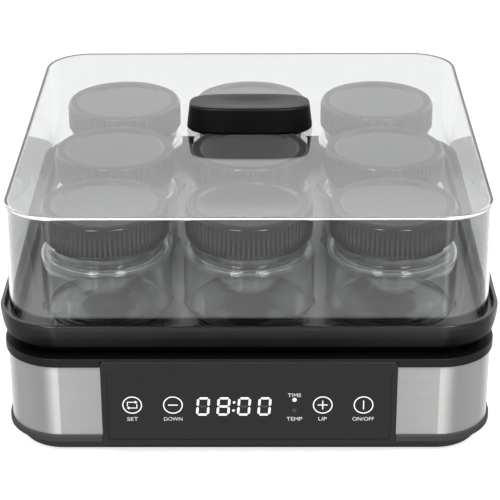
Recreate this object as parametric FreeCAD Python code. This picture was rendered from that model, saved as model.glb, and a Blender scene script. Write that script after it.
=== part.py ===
import FreeCAD, Part
import math
import os

# Nine-jar yogurt maker, in millimetres. The front is -Y, up is +Z, the origin is under its middle.

V = FreeCAD.Vector
ORIGIN = V(0, 0, 0)
UP = V(0, 0, 1)

# Jars, caps and liners
ROWS = ("front", "middle", "back")
COLUMNS = ("left", "centre", "right")
JAR_PITCH = 77.0
JAR_RADIUS = 35.3
JAR_HEIGHT = 57.1
JAR_WALL = 2.6
JAR_FLOOR = 4.2
JAR_PUSH_UP = 1.2
JAR_FOOT_RING = 3.0
JAR_FOOT_RING_ROUND = 0.6
JAR_FOOT_ROUND = 6.5
NECK_RADIUS = 31.2
NECK_HEIGHT = 18.5
SHOULDER_DROP = 0.6
SHOULDER_ROUND = 3.4
SHOULDER_INNER_ROUND = 2.0
NECK_ROUND = 1.0
MOUTH_ROUND = 0.9
BEAD_ABOVE_SHOULDER = 3.1
BEAD_RISE = 1.1
BEAD_HEIGHT = 1.8
BEAD_BEVEL = 0.6
BEAD_ROUND = 0.45
CAP_RADIUS = 34.2
CAP_HEIGHT = 16.4
CAP_SKIRT_WALL = 1.7
CAP_TOP_WALL = 1.1
CAP_RIM_WIDTH = 6.2
CAP_RIM_RAISE = 1.4
CAP_PANEL_SLOPE = 1.2
CAP_ROUND = 1.3
CAP_FOOT_ROUND = 0.3
CAP_PANEL_ROUND = 0.3
CAP_RIB_COUNT = 78
CAP_RIB_DEPTH = 0.55
CAP_RIB_MARGIN = 0.6
LINER_THICKNESS = 1.3
LINER_ROUND = 0.4
LINER_CLEARANCE = 0.6
SEAL_GAP = 0.1

# Plan outlines: rounded squares about the same corner centres, named by how far out they lie
CORNER_BEYOND_JARS = 23.0
FOOTING_OUT = 23.1
PLINTH_OUT = 30.4
BAND_OUT = 29.1
FRAME_OUT = 30.4
SKIRT_OUT = 20.5
RIM_OUT = 31.9
RIM_WAIST_OUT = 31.6
RIM_HEM_OUT = 29.8
LID_TOP_OUT = 26.4
LID_FOOT_OUT = 26.9
BEZEL_OUT = 30.6

# Heights, from the table up
FOOT_HEIGHT = 3.0
PLINTH_SLOPE = 8.2
PLINTH_LIP = 3.6
COVER_FLANGE = 4.0
BAND_HEIGHT = 41.3
FRAME_HEIGHT = 4.9
SHADOW_GAP = 6.6
NECK_UNDERCUT_RISE = 5.0
RIM_HEIGHT = 13.4
RIM_WAIST_RISE = 6.2
LID_SEAT_DEPTH = 4.5
LAND_RISE = 6.5
WELL_DEPTH = 2.5
SKIRT_DEPTH = 6.0
HEADROOM = 12.3

# Walls, clearances and edge rounds
BAND_WALL = 0.6
HOUSING_WALL = 2.2
DECK_WALL = 2.5
COVER_WALL = 2.2
TRAY_WALL = 2.2
HEM_WALL = 1.7
NECK_FOOT_WIDTH = 2.0
LID_WALL = 1.8
FIT = 0.4
SLIP = 0.1
WELL_CLEARANCE = 0.7
LID_CLEARANCE = 2.5
EDGE_ROUND = 0.8
WAIST_ROUND = 38.0

# Lid and handle
LID_ROUND = 1.2
LID_INNER_ROUND = 0.9
HANDLE_LENGTH = 71.0
HANDLE_DEPTH = 27.6
HANDLE_HEIGHT = 15.3
HANDLE_TAPER = 1.7
HANDLE_SQUARENESS = 3.2
HANDLE_OUTLINE_POINTS = 48
HANDLE_WALL = 2.4
HANDLE_ROUND = 1.4
HANDLE_FOOT_INSET = 1.0
HANDLE_FOOT_HEIGHT = 0.6
HANDLE_DISH_DEPTH = 1.2
HANDLE_DISH_MARGIN = 3.0
HANDLE_SCREW_SPACING = 42.0

# Screws
SCREW_RADIUS = 1.4
SCREW_HEAD_RADIUS = 2.5
SCREW_HEAD_HEIGHT = 2.0
SCREW_LENGTH = 8.0
SCREW_CLEARANCE = 0.3
BOSS_RADIUS = 4.0

# Control panel and its board
BEZEL_LENGTH = 155.8
BEZEL_HEIGHT = 50.8
BEZEL_BELOW_DECK = 1.7
BEZEL_CORNER = 2.0
BEZEL_ROUND = 0.5
FILM_LENGTH = 149.6
FILM_HEIGHT = 41.4
FILM_ABOVE_BEZEL_FOOT = 4.1
FILM_THICKNESS = 0.5
FILM_RECESS = 0.3
FILM_CORNER = 0.8
BOARD_THICKNESS = 1.6
CONTROL_BOARD_LENGTH = 138.0
CONTROL_BOARD_HEIGHT = 30.0
CONTROL_BOARD_SETBACK = 7.0
PANEL_POST_INSET = 4.5
POST_RADIUS = 3.0
DISPLAY_LENGTH = 48.0
DISPLAY_HEIGHT = 17.0
DISPLAY_CENTRE = -8.0
OUTER_KEY_SPACING = 122.0
INNER_KEY_SPACING = 79.0
KEY_PAD_RADIUS = 5.0
KEY_PAD_HOLLOW = 3.5
LAMP_CENTRE = 24.4
LAMP_SPACING = 6.3
LAMP_RADIUS = 1.5

# Heater stack under the tray floor
HEATER_SIZE = 196.0
HEATER_CORNER = 12.0
HEATER_PLATE = 2.0
HEATER_MAT = 1.2
INSULATION = 5.0
RETAINER_SHEET = 1.0
RETAINER_LUG_SETBACK = 9.0
RETAINER_ARM = 16.0
PORT_RADIUS = 6.0
SENSOR_RADIUS = 4.0
SENSOR_FLANGE = 3.0
FUSE_RADIUS = 2.6
FUSE_LENGTH = 16.0
FUSE_PLACE = 40.0
SADDLE_LENGTH = 8.0
SADDLE_WIDTH = 7.8

# Power board and its parts
POWER_BOARD_LENGTH = 116.0
POWER_BOARD_DEPTH = 66.0
POWER_BOARD_PLACE = 40.0
POWER_BOARD_RISE = 14.0
POWER_POST_INSET = 5.0
TRANSFORMER_LENGTH = 34.0
TRANSFORMER_DEPTH = 30.0
TRANSFORMER_HEIGHT = 20.0
TRANSFORMER_LAP = 4.0
COIL_LENGTH = 22.0
RELAY_LENGTH = 20.0
RELAY_DEPTH = 16.0
RELAY_HEIGHT = 15.5
CAPACITOR_RADIUS = 6.0
CAPACITOR_HEIGHT = 16.0
TERMINAL_PITCH = 7.0
TERMINAL_POLES = 4
TERMINAL_DEPTH = 11.0
TERMINAL_HEIGHT = 12.0
TERMINAL_PORT_RADIUS = 1.6
TERMINAL_PORT_DEPTH = 6.0
PART_SPACING = 6.0
PART_ROUND = 0.8
LEAD_RADIUS = 1.2
LEAD_BEND = 4.0
LEAD_SHIFT = 24.0
RIBBON_WIDTH = 14.0
RIBBON_THICKNESS = 1.0
RIBBON_BEND = 6.0
RIBBON_RISE = 10.0
RIBBON_LANDING = 6.0
RIBBON_PLACE = -32.0

# Cord plate and gland in the back wall
CORD_PLATE_WIDTH = 44.0
CORD_PLATE_HEIGHT = 32.0
CORD_PLATE_LAP = 3.0
CORD_PLATE_FLANGE = 1.6
GLAND_PLACE = -74.0
GLAND_RISE = 16.0
GLAND_BORE = 3.75
GLAND_RADIUS = 6.8
GLAND_FLANGE_RADIUS = 10.0
GLAND_FLANGE = 1.8
GLAND_SNAP_RADIUS = 7.8
GLAND_SNAP = 1.6
GLAND_ROUND = 0.6

# Feet and base screws
FOOT_RADIUS = 10.0
FOOT_RECESS = 1.0
FOOT_ROUND = 1.0
FOOT_INSIDE_CORNER = 3.0
BASE_SCREW_OUT = 18.5
BASE_SCREW_LENGTH = 16.0
BASE_SCREW_SEAT = 6.0
BASE_BOSS_HEIGHT = 26.0
BOSS_RIB = 2.0

# Offsets worked out from the walls and clearances
CORNER = JAR_PITCH * (len(COLUMNS) - 1) / 2 + CORNER_BEYOND_JARS
BAND_IN = BAND_OUT - BAND_WALL
HOUSING_OUT = BAND_IN - SLIP
HOUSING_IN = HOUSING_OUT - HOUSING_WALL
FLANGE_OUT = HOUSING_IN - FIT
FLANGE_IN = FLANGE_OUT - COVER_WALL
SKIRT_IN = SKIRT_OUT - TRAY_WALL
DECK_HOLE_OUT = SKIRT_OUT + FIT
TRAY_SCREW_OUT = (DECK_HOLE_OUT + HOUSING_IN) / 2
LID_FOOT_IN = LID_FOOT_OUT - LID_WALL
LID_TOP_IN = LID_TOP_OUT - LID_WALL
TRAY_INSIDE_OUT = LID_FOOT_IN - SLIP
NECK_OUT = TRAY_INSIDE_OUT + TRAY_WALL
GUTTER_OUT = LID_FOOT_OUT + LID_CLEARANCE
PLATE_OUT = SKIRT_IN / 2
FRONT_WALL = -(CORNER + HOUSING_OUT)

# Levels worked out from the heights
Z_FOOTING = FOOT_HEIGHT
Z_FLOOR = Z_FOOTING + COVER_WALL
Z_LIP = Z_FOOTING + PLINTH_SLOPE
Z_BAND = Z_LIP + PLINTH_LIP
Z_FRAME = Z_BAND + BAND_HEIGHT
Z_DECK = Z_FRAME + FRAME_HEIGHT
Z_HEM = Z_DECK + SHADOW_GAP
Z_RIM = Z_HEM + RIM_HEIGHT
Z_SEAT = Z_RIM - LID_SEAT_DEPTH
Z_LAND = Z_DECK + LAND_RISE
Z_WELL = Z_LAND - WELL_DEPTH
Z_TRAY_UNDER = Z_WELL - TRAY_WALL
Z_MOUTH = Z_WELL + JAR_HEIGHT
Z_NECK = Z_MOUTH - NECK_HEIGHT
Z_LINER = Z_MOUTH + SEAL_GAP
Z_CAP_INSIDE = Z_LINER + LINER_THICKNESS + SEAL_GAP
Z_CAP_PANEL = Z_CAP_INSIDE + CAP_TOP_WALL
Z_CAP_TOP = Z_CAP_PANEL + CAP_RIM_RAISE
Z_CAP_FOOT = Z_CAP_TOP - CAP_HEIGHT
Z_CEILING = Z_CAP_TOP + HEADROOM
Z_LID = Z_CEILING + LID_WALL
Z_HANDLE = Z_LID + HANDLE_HEIGHT
Z_HEATER = Z_TRAY_UNDER - HEATER_PLATE
Z_MAT = Z_HEATER - HEATER_MAT
Z_PAD = Z_MAT - INSULATION
Z_RETAINER = Z_PAD - RETAINER_SHEET
Z_BEZEL_TOP = Z_DECK - BEZEL_BELOW_DECK
Z_BEZEL = Z_BEZEL_TOP - BEZEL_HEIGHT
Z_FILM = Z_BEZEL + FILM_ABOVE_BEZEL_FOOT
Z_KEYS = Z_FILM + FILM_HEIGHT / 2
Z_POWER_BOARD = Z_FLOOR + POWER_BOARD_RISE
Z_POWER_TOP = Z_POWER_BOARD + BOARD_THICKNESS
Z_GLAND = Z_BAND + GLAND_RISE
Z_CORD_PLATE = Z_BAND + CORD_PLATE_HEIGHT

# Panel depths, from the bezel's front to the back of its board
BEZEL_FRONT = -(CORNER + BEZEL_OUT)
FILM_FRONT = BEZEL_FRONT + FILM_RECESS
FILM_BACK = FILM_FRONT + FILM_THICKNESS
BOARD_FRONT = FRONT_WALL + CONTROL_BOARD_SETBACK
BOARD_BACK = BOARD_FRONT + BOARD_THICKNESS


# Shared shapes

def outline(points):
    """Closed face in the XZ plane through (across, up) or (across, up, corner radius) points."""
    corners = []
    count = len(points)
    for index, point in enumerate(points):
        here = V(point[0], 0, point[1])
        before = V(points[index - 1][0], 0, points[index - 1][1])
        after = V(points[(index + 1) % count][0], 0, points[(index + 1) % count][1])
        if len(point) < 3:
            corners.append((here, here, here))
            continue
        radius = point[2]
        back = (before - here).normalize()
        onward = (after - here).normalize()
        half_angle = back.getAngle(onward) / 2
        reach = radius / math.tan(half_angle)
        inward = (back + onward).normalize()
        middle = here + inward * (radius / math.sin(half_angle) - radius)
        corners.append((here + back * reach, middle, here + onward * reach))
    edges = []
    for index, (start, middle, end) in enumerate(corners):
        previous_end = corners[index - 1][2]
        if previous_end.distanceToPoint(start) > 1e-6:
            edges.append(Part.LineSegment(previous_end, start).toShape())
        if start.distanceToPoint(end) > 1e-6:
            edges.append(Part.Arc(start, middle, end).toShape())
    return Part.Face(Part.Wire(edges))


def turned(points):
    """Solid of revolution about the Z axis."""
    return outline(points).revolve(ORIGIN, UP, 360)


def quarter_turns(shape):
    """The shape and its copies on the other three sides."""
    copies = []
    for quarter in range(4):
        copy = shape.copy()
        copy.rotate(ORIGIN, UP, 90 * quarter)
        copies.append(copy)
    return copies


def at_corners(shape):
    """Four copies of a shape drawn at a corner centre, turned to point out along each diagonal."""
    corner_shape = shape.copy()
    corner_shape.rotate(ORIGIN, UP, 45)
    corner_shape.translate(V(CORNER, CORNER, 0))
    return quarter_turns(corner_shape)


def ring(points):
    """Moulding that follows the rounded square; points are (outward from the corner centre, up)."""
    section = outline(points)
    section.translate(V(CORNER, CORNER, 0))
    bend = section.revolve(V(CORNER, CORNER, 0), UP, 90)
    straight = section.extrude(V(0, -2 * CORNER, 0))
    sides = quarter_turns(bend.fuse(straight))
    return sides[0].multiFuse(sides[1:]).removeSplitter()


def plate(half_length, half_depth, radius, bottom, top):
    """Flat plate with rounded corners, square to Z."""
    block = Part.makeBox(2 * half_length, 2 * half_depth, top - bottom, V(-half_length, -half_depth, bottom))
    upright = [edge for edge in block.Edges if abs(edge.tangentAt(edge.FirstParameter).z) > 0.5]
    return block.makeFillet(radius, upright)


def square_plate(out, bottom, top):
    """Flat plate with the outline of the shared rounded square."""
    return plate(CORNER + out, CORNER + out, out, bottom, top)


def panel_plate(length, height, radius, middle, front, back):
    """Upright plate on the front of the base, with rounded corners."""
    slab = plate(length / 2, height / 2, radius, 0, back - front)
    slab.rotate(ORIGIN, V(1, 0, 0), -90)
    slab.translate(V(0, front, middle))
    return slab


def rod(radius, length, base, direction=UP):
    return Part.makeCylinder(radius, length, base, direction)


def block(length, depth, height, centre, bottom):
    """Box centred on a point in plan."""
    corner = V(centre.x - length / 2, centre.y - depth / 2, bottom)
    return Part.makeBox(length, depth, height, corner)


def softened(solid, radius):
    """Box with its upper and upright edges rounded."""
    low = solid.BoundBox.ZMin
    edges = [edge for edge in solid.Edges if edge.BoundBox.ZMax > low + radius]
    return solid.makeFillet(radius, edges)


def screw(length):
    """Pan head screw with its head's seat at the origin and its shank up +Z."""
    head = turned([(0, -SCREW_HEAD_HEIGHT), (SCREW_HEAD_RADIUS, -SCREW_HEAD_HEIGHT, SCREW_HEAD_HEIGHT / 2),
                   (SCREW_HEAD_RADIUS, 0), (0, 0)])
    tip = SCREW_RADIUS / 2
    shank = turned([(0, 0), (SCREW_RADIUS, 0), (SCREW_RADIUS, length - tip), (tip, length), (0, length)])
    return head.fuse(shank).removeSplitter()


def placed(shape, place, direction=UP):
    """Copy of a shape drawn along +Z, turned along a direction and moved to a place."""
    copy = shape.copy()
    copy.rotate(ORIGIN, *axis_angle(direction))
    copy.translate(place)
    return copy


def axis_angle(direction):
    rotation = FreeCAD.Rotation(UP, direction)
    return rotation.Axis, math.degrees(rotation.Angle)


def pilot(place, depth, direction=UP):
    """Hole that a screw's shank goes into."""
    return rod(SCREW_RADIUS + SLIP, depth, place, direction)


def clearance_hole(place, depth, direction=UP):
    """Hole that a screw passes through freely."""
    return rod(SCREW_RADIUS + SCREW_CLEARANCE, depth, place, direction)


def save(name, *solids):
    shape = solids[0] if len(solids) == 1 else Part.makeCompound(list(solids))
    shape.exportStep("parts/" + name + ".step")


# Base: feet, plinth, housing and steel band

def base_screw_places():
    return [copy.BoundBox.Center for copy in at_corners(Part.Vertex(V(BASE_SCREW_OUT, 0, 0)))]


def tray_screw_places():
    return [copy.BoundBox.Center for copy in at_corners(Part.Vertex(V(TRAY_SCREW_OUT, 0, 0)))]


def foot_places():
    return [copy.BoundBox.Center for copy in at_corners(Part.Vertex(V(-FOOT_INSIDE_CORNER, 0, 0)))]


def power_post_places():
    across = POWER_BOARD_LENGTH / 2 - POWER_POST_INSET
    deep = POWER_BOARD_DEPTH / 2 - POWER_POST_INSET
    return [V(x, POWER_BOARD_PLACE + y, 0) for x in (-across, across) for y in (-deep, deep)]


def rubber_feet():
    foot = turned([(0, 0), (FOOT_RADIUS, 0, FOOT_ROUND), (FOOT_RADIUS, FOOT_HEIGHT + FOOT_RECESS),
                   (0, FOOT_HEIGHT + FOOT_RECESS)])
    return [placed(foot, place) for place in foot_places()]


def bezel_room():
    """Space that the bezel takes in the parts around it."""
    length = BEZEL_LENGTH + 2 * SLIP
    return Part.makeBox(length, CORNER, BEZEL_HEIGHT + 2 * SLIP,
                        V(-length / 2, FRONT_WALL - CORNER, Z_BEZEL - SLIP))


def bottom_cover():
    cover = ring([
        (PLATE_OUT, Z_FOOTING),
        (FOOTING_OUT, Z_FOOTING, EDGE_ROUND),
        (PLINTH_OUT - EDGE_ROUND, Z_LIP),
        (PLINTH_OUT, Z_LIP),
        (PLINTH_OUT, Z_BAND, EDGE_ROUND),
        (FLANGE_OUT, Z_BAND),
        (FLANGE_OUT, Z_BAND + COVER_FLANGE),
        (FLANGE_IN, Z_BAND + COVER_FLANGE),
        (FLANGE_IN, Z_LIP),
        (FOOTING_OUT - COVER_WALL, Z_FLOOR),
        (PLATE_OUT, Z_FLOOR),
    ])
    adds = [square_plate(PLATE_OUT, Z_FOOTING, Z_FLOOR)]
    cuts = [bezel_room()]
    for place in base_screw_places():
        base = V(place.x, place.y, Z_FOOTING)
        adds.append(rod(BOSS_RADIUS, Z_BAND - Z_FOOTING, base))
        cuts.append(rod(SCREW_HEAD_RADIUS + SCREW_CLEARANCE, BASE_SCREW_SEAT, base))
        cuts.append(clearance_hole(base, Z_BAND - Z_FOOTING))
    for place in power_post_places():
        adds.append(rod(POST_RADIUS, POWER_BOARD_RISE, V(place.x, place.y, Z_FLOOR)))
        cuts.append(pilot(V(place.x, place.y, Z_FLOOR), POWER_BOARD_RISE))
    for place in foot_places():
        cuts.append(rod(FOOT_RADIUS + SLIP, FOOT_RECESS, V(place.x, place.y, Z_FOOTING)))
    return cover.multiFuse(adds).cut(Part.makeCompound(cuts)).removeSplitter()


def base_screws():
    return [placed(screw(BASE_SCREW_LENGTH), V(place.x, place.y, Z_FOOTING + BASE_SCREW_SEAT))
            for place in base_screw_places()]


def panel_window():
    """Opening behind the bezel that the control board goes through."""
    length = CONTROL_BOARD_LENGTH + 2 * FIT
    height = CONTROL_BOARD_HEIGHT + 2 * FIT
    return Part.makeBox(length, CORNER / 2, height, V(-length / 2, FRONT_WALL - FIT, Z_KEYS - height / 2))


def gland_hole():
    return rod(GLAND_RADIUS + SLIP, CORNER / 2, V(GLAND_PLACE, CORNER, Z_GLAND), V(0, 1, 0))


def cord_slab(half_width, bottom, top, inner, outer):
    """Upright slab in the back wall around the gland, between two distances out."""
    corner = V(GLAND_PLACE - half_width, CORNER + inner, bottom)
    return Part.makeBox(2 * half_width, outer - inner, top - bottom, corner)


def cord_plate():
    """Plate that carries the gland: it closes a slot in the back wall and laps over the wall inside."""
    half = CORD_PLATE_WIDTH / 2
    face = HOUSING_IN - SLIP
    flange_foot = Z_BAND + COVER_FLANGE + FIT
    wall = cord_slab(half, Z_BAND, Z_CORD_PLATE, face, HOUSING_OUT)
    flange = cord_slab(half + CORD_PLATE_LAP, flange_foot, Z_CORD_PLATE + CORD_PLATE_LAP,
                       face - CORD_PLATE_FLANGE, face)
    window = cord_slab(half - CORD_PLATE_LAP, flange_foot, Z_CORD_PLATE - CORD_PLATE_LAP,
                       face - CORD_PLATE_FLANGE, face)
    return wall.fuse(flange.cut(window)).removeSplitter().cut(gland_hole())


def base_housing():
    housing = ring([
        (HOUSING_IN, Z_BAND),
        (HOUSING_OUT, Z_BAND),
        (HOUSING_OUT, Z_FRAME),
        (FRAME_OUT, Z_FRAME),
        (FRAME_OUT, Z_DECK, EDGE_ROUND),
        (DECK_HOLE_OUT, Z_DECK),
        (DECK_HOLE_OUT, Z_DECK - DECK_WALL),
        (HOUSING_IN, Z_DECK - DECK_WALL),
    ])
    boss = rod(BOSS_RADIUS, BASE_BOSS_HEIGHT, V(BASE_SCREW_OUT, 0, Z_BAND))
    rib_length = HOUSING_OUT - HOUSING_WALL / 2 - BASE_SCREW_OUT
    rib_base = Z_BAND + COVER_FLANGE + FIT
    rib = Part.makeBox(rib_length, BOSS_RIB, Z_BAND + BASE_BOSS_HEIGHT - rib_base,
                       V(BASE_SCREW_OUT, -BOSS_RIB / 2, rib_base))
    adds = at_corners(boss.fuse(rib))
    cuts = [bezel_room(), panel_window(), cord_slab(CORD_PLATE_WIDTH / 2 + SLIP, Z_BAND, Z_CORD_PLATE + SLIP,
                                                    HOUSING_IN, HOUSING_OUT)]
    for place in base_screw_places():
        cuts.append(pilot(V(place.x, place.y, Z_BAND), BASE_SCREW_LENGTH))
    for place in tray_screw_places():
        cuts.append(clearance_hole(V(place.x, place.y, Z_DECK - DECK_WALL), DECK_WALL))
    return housing.multiFuse(adds).cut(Part.makeCompound(cuts)).removeSplitter()


def steel_band():
    band = ring([(BAND_IN, Z_BAND), (BAND_OUT, Z_BAND), (BAND_OUT, Z_FRAME), (BAND_IN, Z_FRAME)])
    return band.cut(Part.makeCompound([bezel_room(), gland_hole()]))


def cord_gland():
    """Bush drawn along +Z from its outer face inward, then turned to look out of the back."""
    grip = GLAND_FLANGE + BAND_OUT - HOUSING_IN + SLIP
    inner_end = grip + GLAND_SNAP
    bush = turned([
        (GLAND_BORE, 0, GLAND_ROUND),
        (GLAND_FLANGE_RADIUS, 0, GLAND_ROUND),
        (GLAND_FLANGE_RADIUS, GLAND_FLANGE),
        (GLAND_RADIUS, GLAND_FLANGE),
        (GLAND_RADIUS, grip),
        (GLAND_SNAP_RADIUS, grip),
        (GLAND_RADIUS, inner_end),
        (GLAND_BORE, inner_end),
    ])
    return placed(bush, V(GLAND_PLACE, CORNER + BAND_OUT + GLAND_FLANGE, Z_GLAND), V(0, -1, 0))


# Control panel

def panel_post_places():
    across = CONTROL_BOARD_LENGTH / 2 - PANEL_POST_INSET
    up = CONTROL_BOARD_HEIGHT / 2 - PANEL_POST_INSET
    return [V(x, 0, Z_KEYS + z) for x in (-across, across) for z in (-up, up)]


def key_places():
    halves = (OUTER_KEY_SPACING / 2, INNER_KEY_SPACING / 2)
    return [V(side * half, 0, Z_KEYS) for half in halves for side in (-1, 1)]


def lamp_places():
    return [V(LAMP_CENTRE, 0, Z_KEYS + side * LAMP_SPACING / 2) for side in (-1, 1)]


def display_block(gap, front, back):
    length = DISPLAY_LENGTH + 2 * gap
    height = DISPLAY_HEIGHT + 2 * gap
    return Part.makeBox(length, back - front, height,
                        V(DISPLAY_CENTRE - length / 2, front, Z_KEYS - height / 2))


def panel_bezel():
    middle = Z_BEZEL + BEZEL_HEIGHT / 2
    bezel = panel_plate(BEZEL_LENGTH, BEZEL_HEIGHT, BEZEL_CORNER, middle, BEZEL_FRONT, FRONT_WALL)
    front_edges = [edge for edge in bezel.Edges if edge.BoundBox.YMax < BEZEL_FRONT + BEZEL_ROUND]
    bezel = bezel.makeFillet(BEZEL_ROUND, front_edges)
    pocket = panel_plate(FILM_LENGTH + 2 * SLIP, FILM_HEIGHT + 2 * SLIP, FILM_CORNER + SLIP,
                         Z_KEYS, BEZEL_FRONT - FIT, FILM_BACK)
    cuts = [pocket, display_block(FIT, BEZEL_FRONT, FRONT_WALL)]
    for place in lamp_places():
        cuts.append(rod(LAMP_RADIUS + FIT, BEZEL_OUT, V(place.x, BEZEL_FRONT, place.z), V(0, 1, 0)))
    posts = [rod(POST_RADIUS, CONTROL_BOARD_SETBACK, V(place.x, FRONT_WALL, place.z), V(0, 1, 0))
             for place in panel_post_places()]
    holes = [pilot(V(place.x, FRONT_WALL, place.z), CONTROL_BOARD_SETBACK, V(0, 1, 0))
             for place in panel_post_places()]
    return bezel.cut(Part.makeCompound(cuts)).multiFuse(posts).cut(Part.makeCompound(holes)).removeSplitter()


def touch_film():
    return panel_plate(FILM_LENGTH, FILM_HEIGHT, FILM_CORNER, Z_KEYS, FILM_FRONT, FILM_BACK)


def control_board():
    board = panel_plate(CONTROL_BOARD_LENGTH, CONTROL_BOARD_HEIGHT, PART_ROUND, Z_KEYS,
                        BOARD_FRONT, BOARD_BACK)
    holes = [clearance_hole(V(place.x, BOARD_FRONT, place.z), BOARD_THICKNESS, V(0, 1, 0))
             for place in panel_post_places()]
    return board.cut(Part.makeCompound(holes))


def display_module():
    return display_block(0, FILM_BACK + SLIP, BOARD_FRONT)


def touch_pads():
    """Conductive foam rings that carry the touch signal from the board to the bezel's back."""
    pads = []
    length = CONTROL_BOARD_SETBACK - SLIP
    for place in key_places():
        base = V(place.x, FRONT_WALL + SLIP, place.z)
        hollow = rod(KEY_PAD_HOLLOW, length, base, V(0, 1, 0))
        pads.append(rod(KEY_PAD_RADIUS, length, base, V(0, 1, 0)).cut(hollow))
    return pads


def indicator_lamps():
    length = BOARD_FRONT - FILM_BACK - SLIP
    lamp = turned([(0, 0), (LAMP_RADIUS, 0), (LAMP_RADIUS, length, LAMP_RADIUS / 2), (0, length)])
    return [placed(lamp, V(place.x, BOARD_FRONT, place.z), V(0, -1, 0)) for place in lamp_places()]


# Power board and wiring

def power_board():
    board = plate(POWER_BOARD_LENGTH / 2, POWER_BOARD_DEPTH / 2, PART_ROUND, Z_POWER_BOARD, Z_POWER_TOP)
    board.translate(V(0, POWER_BOARD_PLACE, 0))
    holes = [clearance_hole(V(place.x, place.y, Z_POWER_BOARD), BOARD_THICKNESS)
             for place in power_post_places()]
    return board.cut(Part.makeCompound(holes))


def board_screws():
    control = [placed(screw(SCREW_LENGTH), V(place.x, BOARD_BACK, place.z), V(0, -1, 0))
               for place in panel_post_places()]
    power = [placed(screw(SCREW_LENGTH), V(place.x, place.y, Z_POWER_TOP), V(0, 0, -1))
             for place in power_post_places()]
    return control + power


def terminal_place():
    """Terminal block, behind the middle of the board's back edge."""
    back = POWER_BOARD_PLACE + POWER_BOARD_DEPTH / 2
    return V(0, back - TERMINAL_DEPTH / 2 - PART_SPACING / 2, 0)


def terminal_ports():
    first = -TERMINAL_PITCH * (TERMINAL_POLES - 1) / 2
    return [terminal_place() + V(first + TERMINAL_PITCH * pole, 0, 0) for pole in range(TERMINAL_POLES)]


def terminal_block():
    length = TERMINAL_PITCH * TERMINAL_POLES
    body = block(length, TERMINAL_DEPTH, TERMINAL_HEIGHT, terminal_place(), Z_POWER_TOP)
    top = Z_POWER_TOP + TERMINAL_HEIGHT
    ports = [rod(TERMINAL_PORT_RADIUS, TERMINAL_PORT_DEPTH, V(port.x, port.y, top - TERMINAL_PORT_DEPTH))
             for port in terminal_ports()]
    return softened(body, PART_ROUND).cut(Part.makeCompound(ports))


def front_row_place(offset, depth):
    """Place on the board for a part that stands in front of the terminal block."""
    return V(offset, terminal_place().y - TERMINAL_DEPTH / 2 - PART_SPACING - depth / 2, 0)


def power_transformer():
    """Laminated core with a coil that stands out of it on both sides."""
    place = front_row_place(0, TRANSFORMER_DEPTH)
    core_depth = TRANSFORMER_DEPTH - 2 * TRANSFORMER_LAP
    core = block(TRANSFORMER_LENGTH, core_depth, TRANSFORMER_HEIGHT, place, Z_POWER_TOP)
    coil = block(COIL_LENGTH, TRANSFORMER_DEPTH, TRANSFORMER_HEIGHT - TRANSFORMER_LAP, place, Z_POWER_TOP)
    return core.fuse(softened(coil, PART_ROUND)).removeSplitter()


def heater_relay():
    offset = TRANSFORMER_LENGTH / 2 + PART_SPACING + RELAY_LENGTH / 2
    place = front_row_place(offset, RELAY_DEPTH)
    return softened(block(RELAY_LENGTH, RELAY_DEPTH, RELAY_HEIGHT, place, Z_POWER_TOP), PART_ROUND)


def filter_capacitor():
    offset = -TRANSFORMER_LENGTH / 2 - PART_SPACING - CAPACITOR_RADIUS
    place = front_row_place(offset, 2 * CAPACITOR_RADIUS)
    can = turned([(0, 0), (CAPACITOR_RADIUS, 0), (CAPACITOR_RADIUS, CAPACITOR_HEIGHT, PART_ROUND),
                  (0, CAPACITOR_HEIGHT)])
    return placed(can, V(place.x, place.y, Z_POWER_TOP))


def lead_port_place():
    """Where the heater leads go up through the insulation."""
    port = terminal_place()
    return V(port.x, port.y - LEAD_SHIFT, 0)


def heater_leads():
    """Two leads from the terminal block up to the heater mat, each with one double bend."""
    leads = []
    bottom = Z_POWER_TOP + TERMINAL_HEIGHT - TERMINAL_PORT_DEPTH
    level = Z_RETAINER - LEAD_BEND - LEAD_RADIUS
    for port in terminal_ports()[1:-1]:
        section = Part.Face(Part.Wire(Part.makeCircle(LEAD_RADIUS, V(port.x, port.y, bottom))))
        inward = port.y - LEAD_BEND
        far = port.y - LEAD_SHIFT
        diagonal = LEAD_BEND * math.sqrt(0.5)
        low_centre = V(port.x, inward, level - LEAD_BEND)
        high_centre = V(port.x, far + LEAD_BEND, level + LEAD_BEND)
        points = [V(port.x, port.y, bottom), V(port.x, port.y, low_centre.z), V(port.x, inward, level),
                  V(port.x, high_centre.y, level), V(port.x, far, high_centre.z), V(port.x, far, Z_MAT)]
        path = Part.Wire([
            Part.LineSegment(points[0], points[1]).toShape(),
            Part.Arc(points[1], low_centre + V(0, diagonal, diagonal), points[2]).toShape(),
            Part.LineSegment(points[2], points[3]).toShape(),
            Part.Arc(points[3], high_centre + V(0, -diagonal, -diagonal), points[4]).toShape(),
            Part.LineSegment(points[4], points[5]).toShape(),
        ])
        leads.append(path.makePipeShell([section.OuterWire], True, False))
    return leads


def panel_ribbon():
    """Flat ribbon from the back of the control board to the front edge of the power board."""
    landing = POWER_BOARD_PLACE - POWER_BOARD_DEPTH / 2 + RIBBON_LANDING
    level = Z_POWER_TOP + RIBBON_RISE
    strip = outline([
        (BOARD_BACK, level),
        (landing, level, RIBBON_BEND),
        (landing, Z_POWER_TOP),
        (landing + RIBBON_THICKNESS, Z_POWER_TOP),
        (landing + RIBBON_THICKNESS, level + RIBBON_THICKNESS, RIBBON_BEND + RIBBON_THICKNESS),
        (BOARD_BACK, level + RIBBON_THICKNESS),
    ])
    ribbon = strip.extrude(V(0, RIBBON_WIDTH, 0))
    ribbon.rotate(ORIGIN, UP, 90)
    ribbon.translate(V(RIBBON_PLACE + RIBBON_WIDTH / 2, 0, 0))
    return ribbon


# Jar tray and heater

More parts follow.
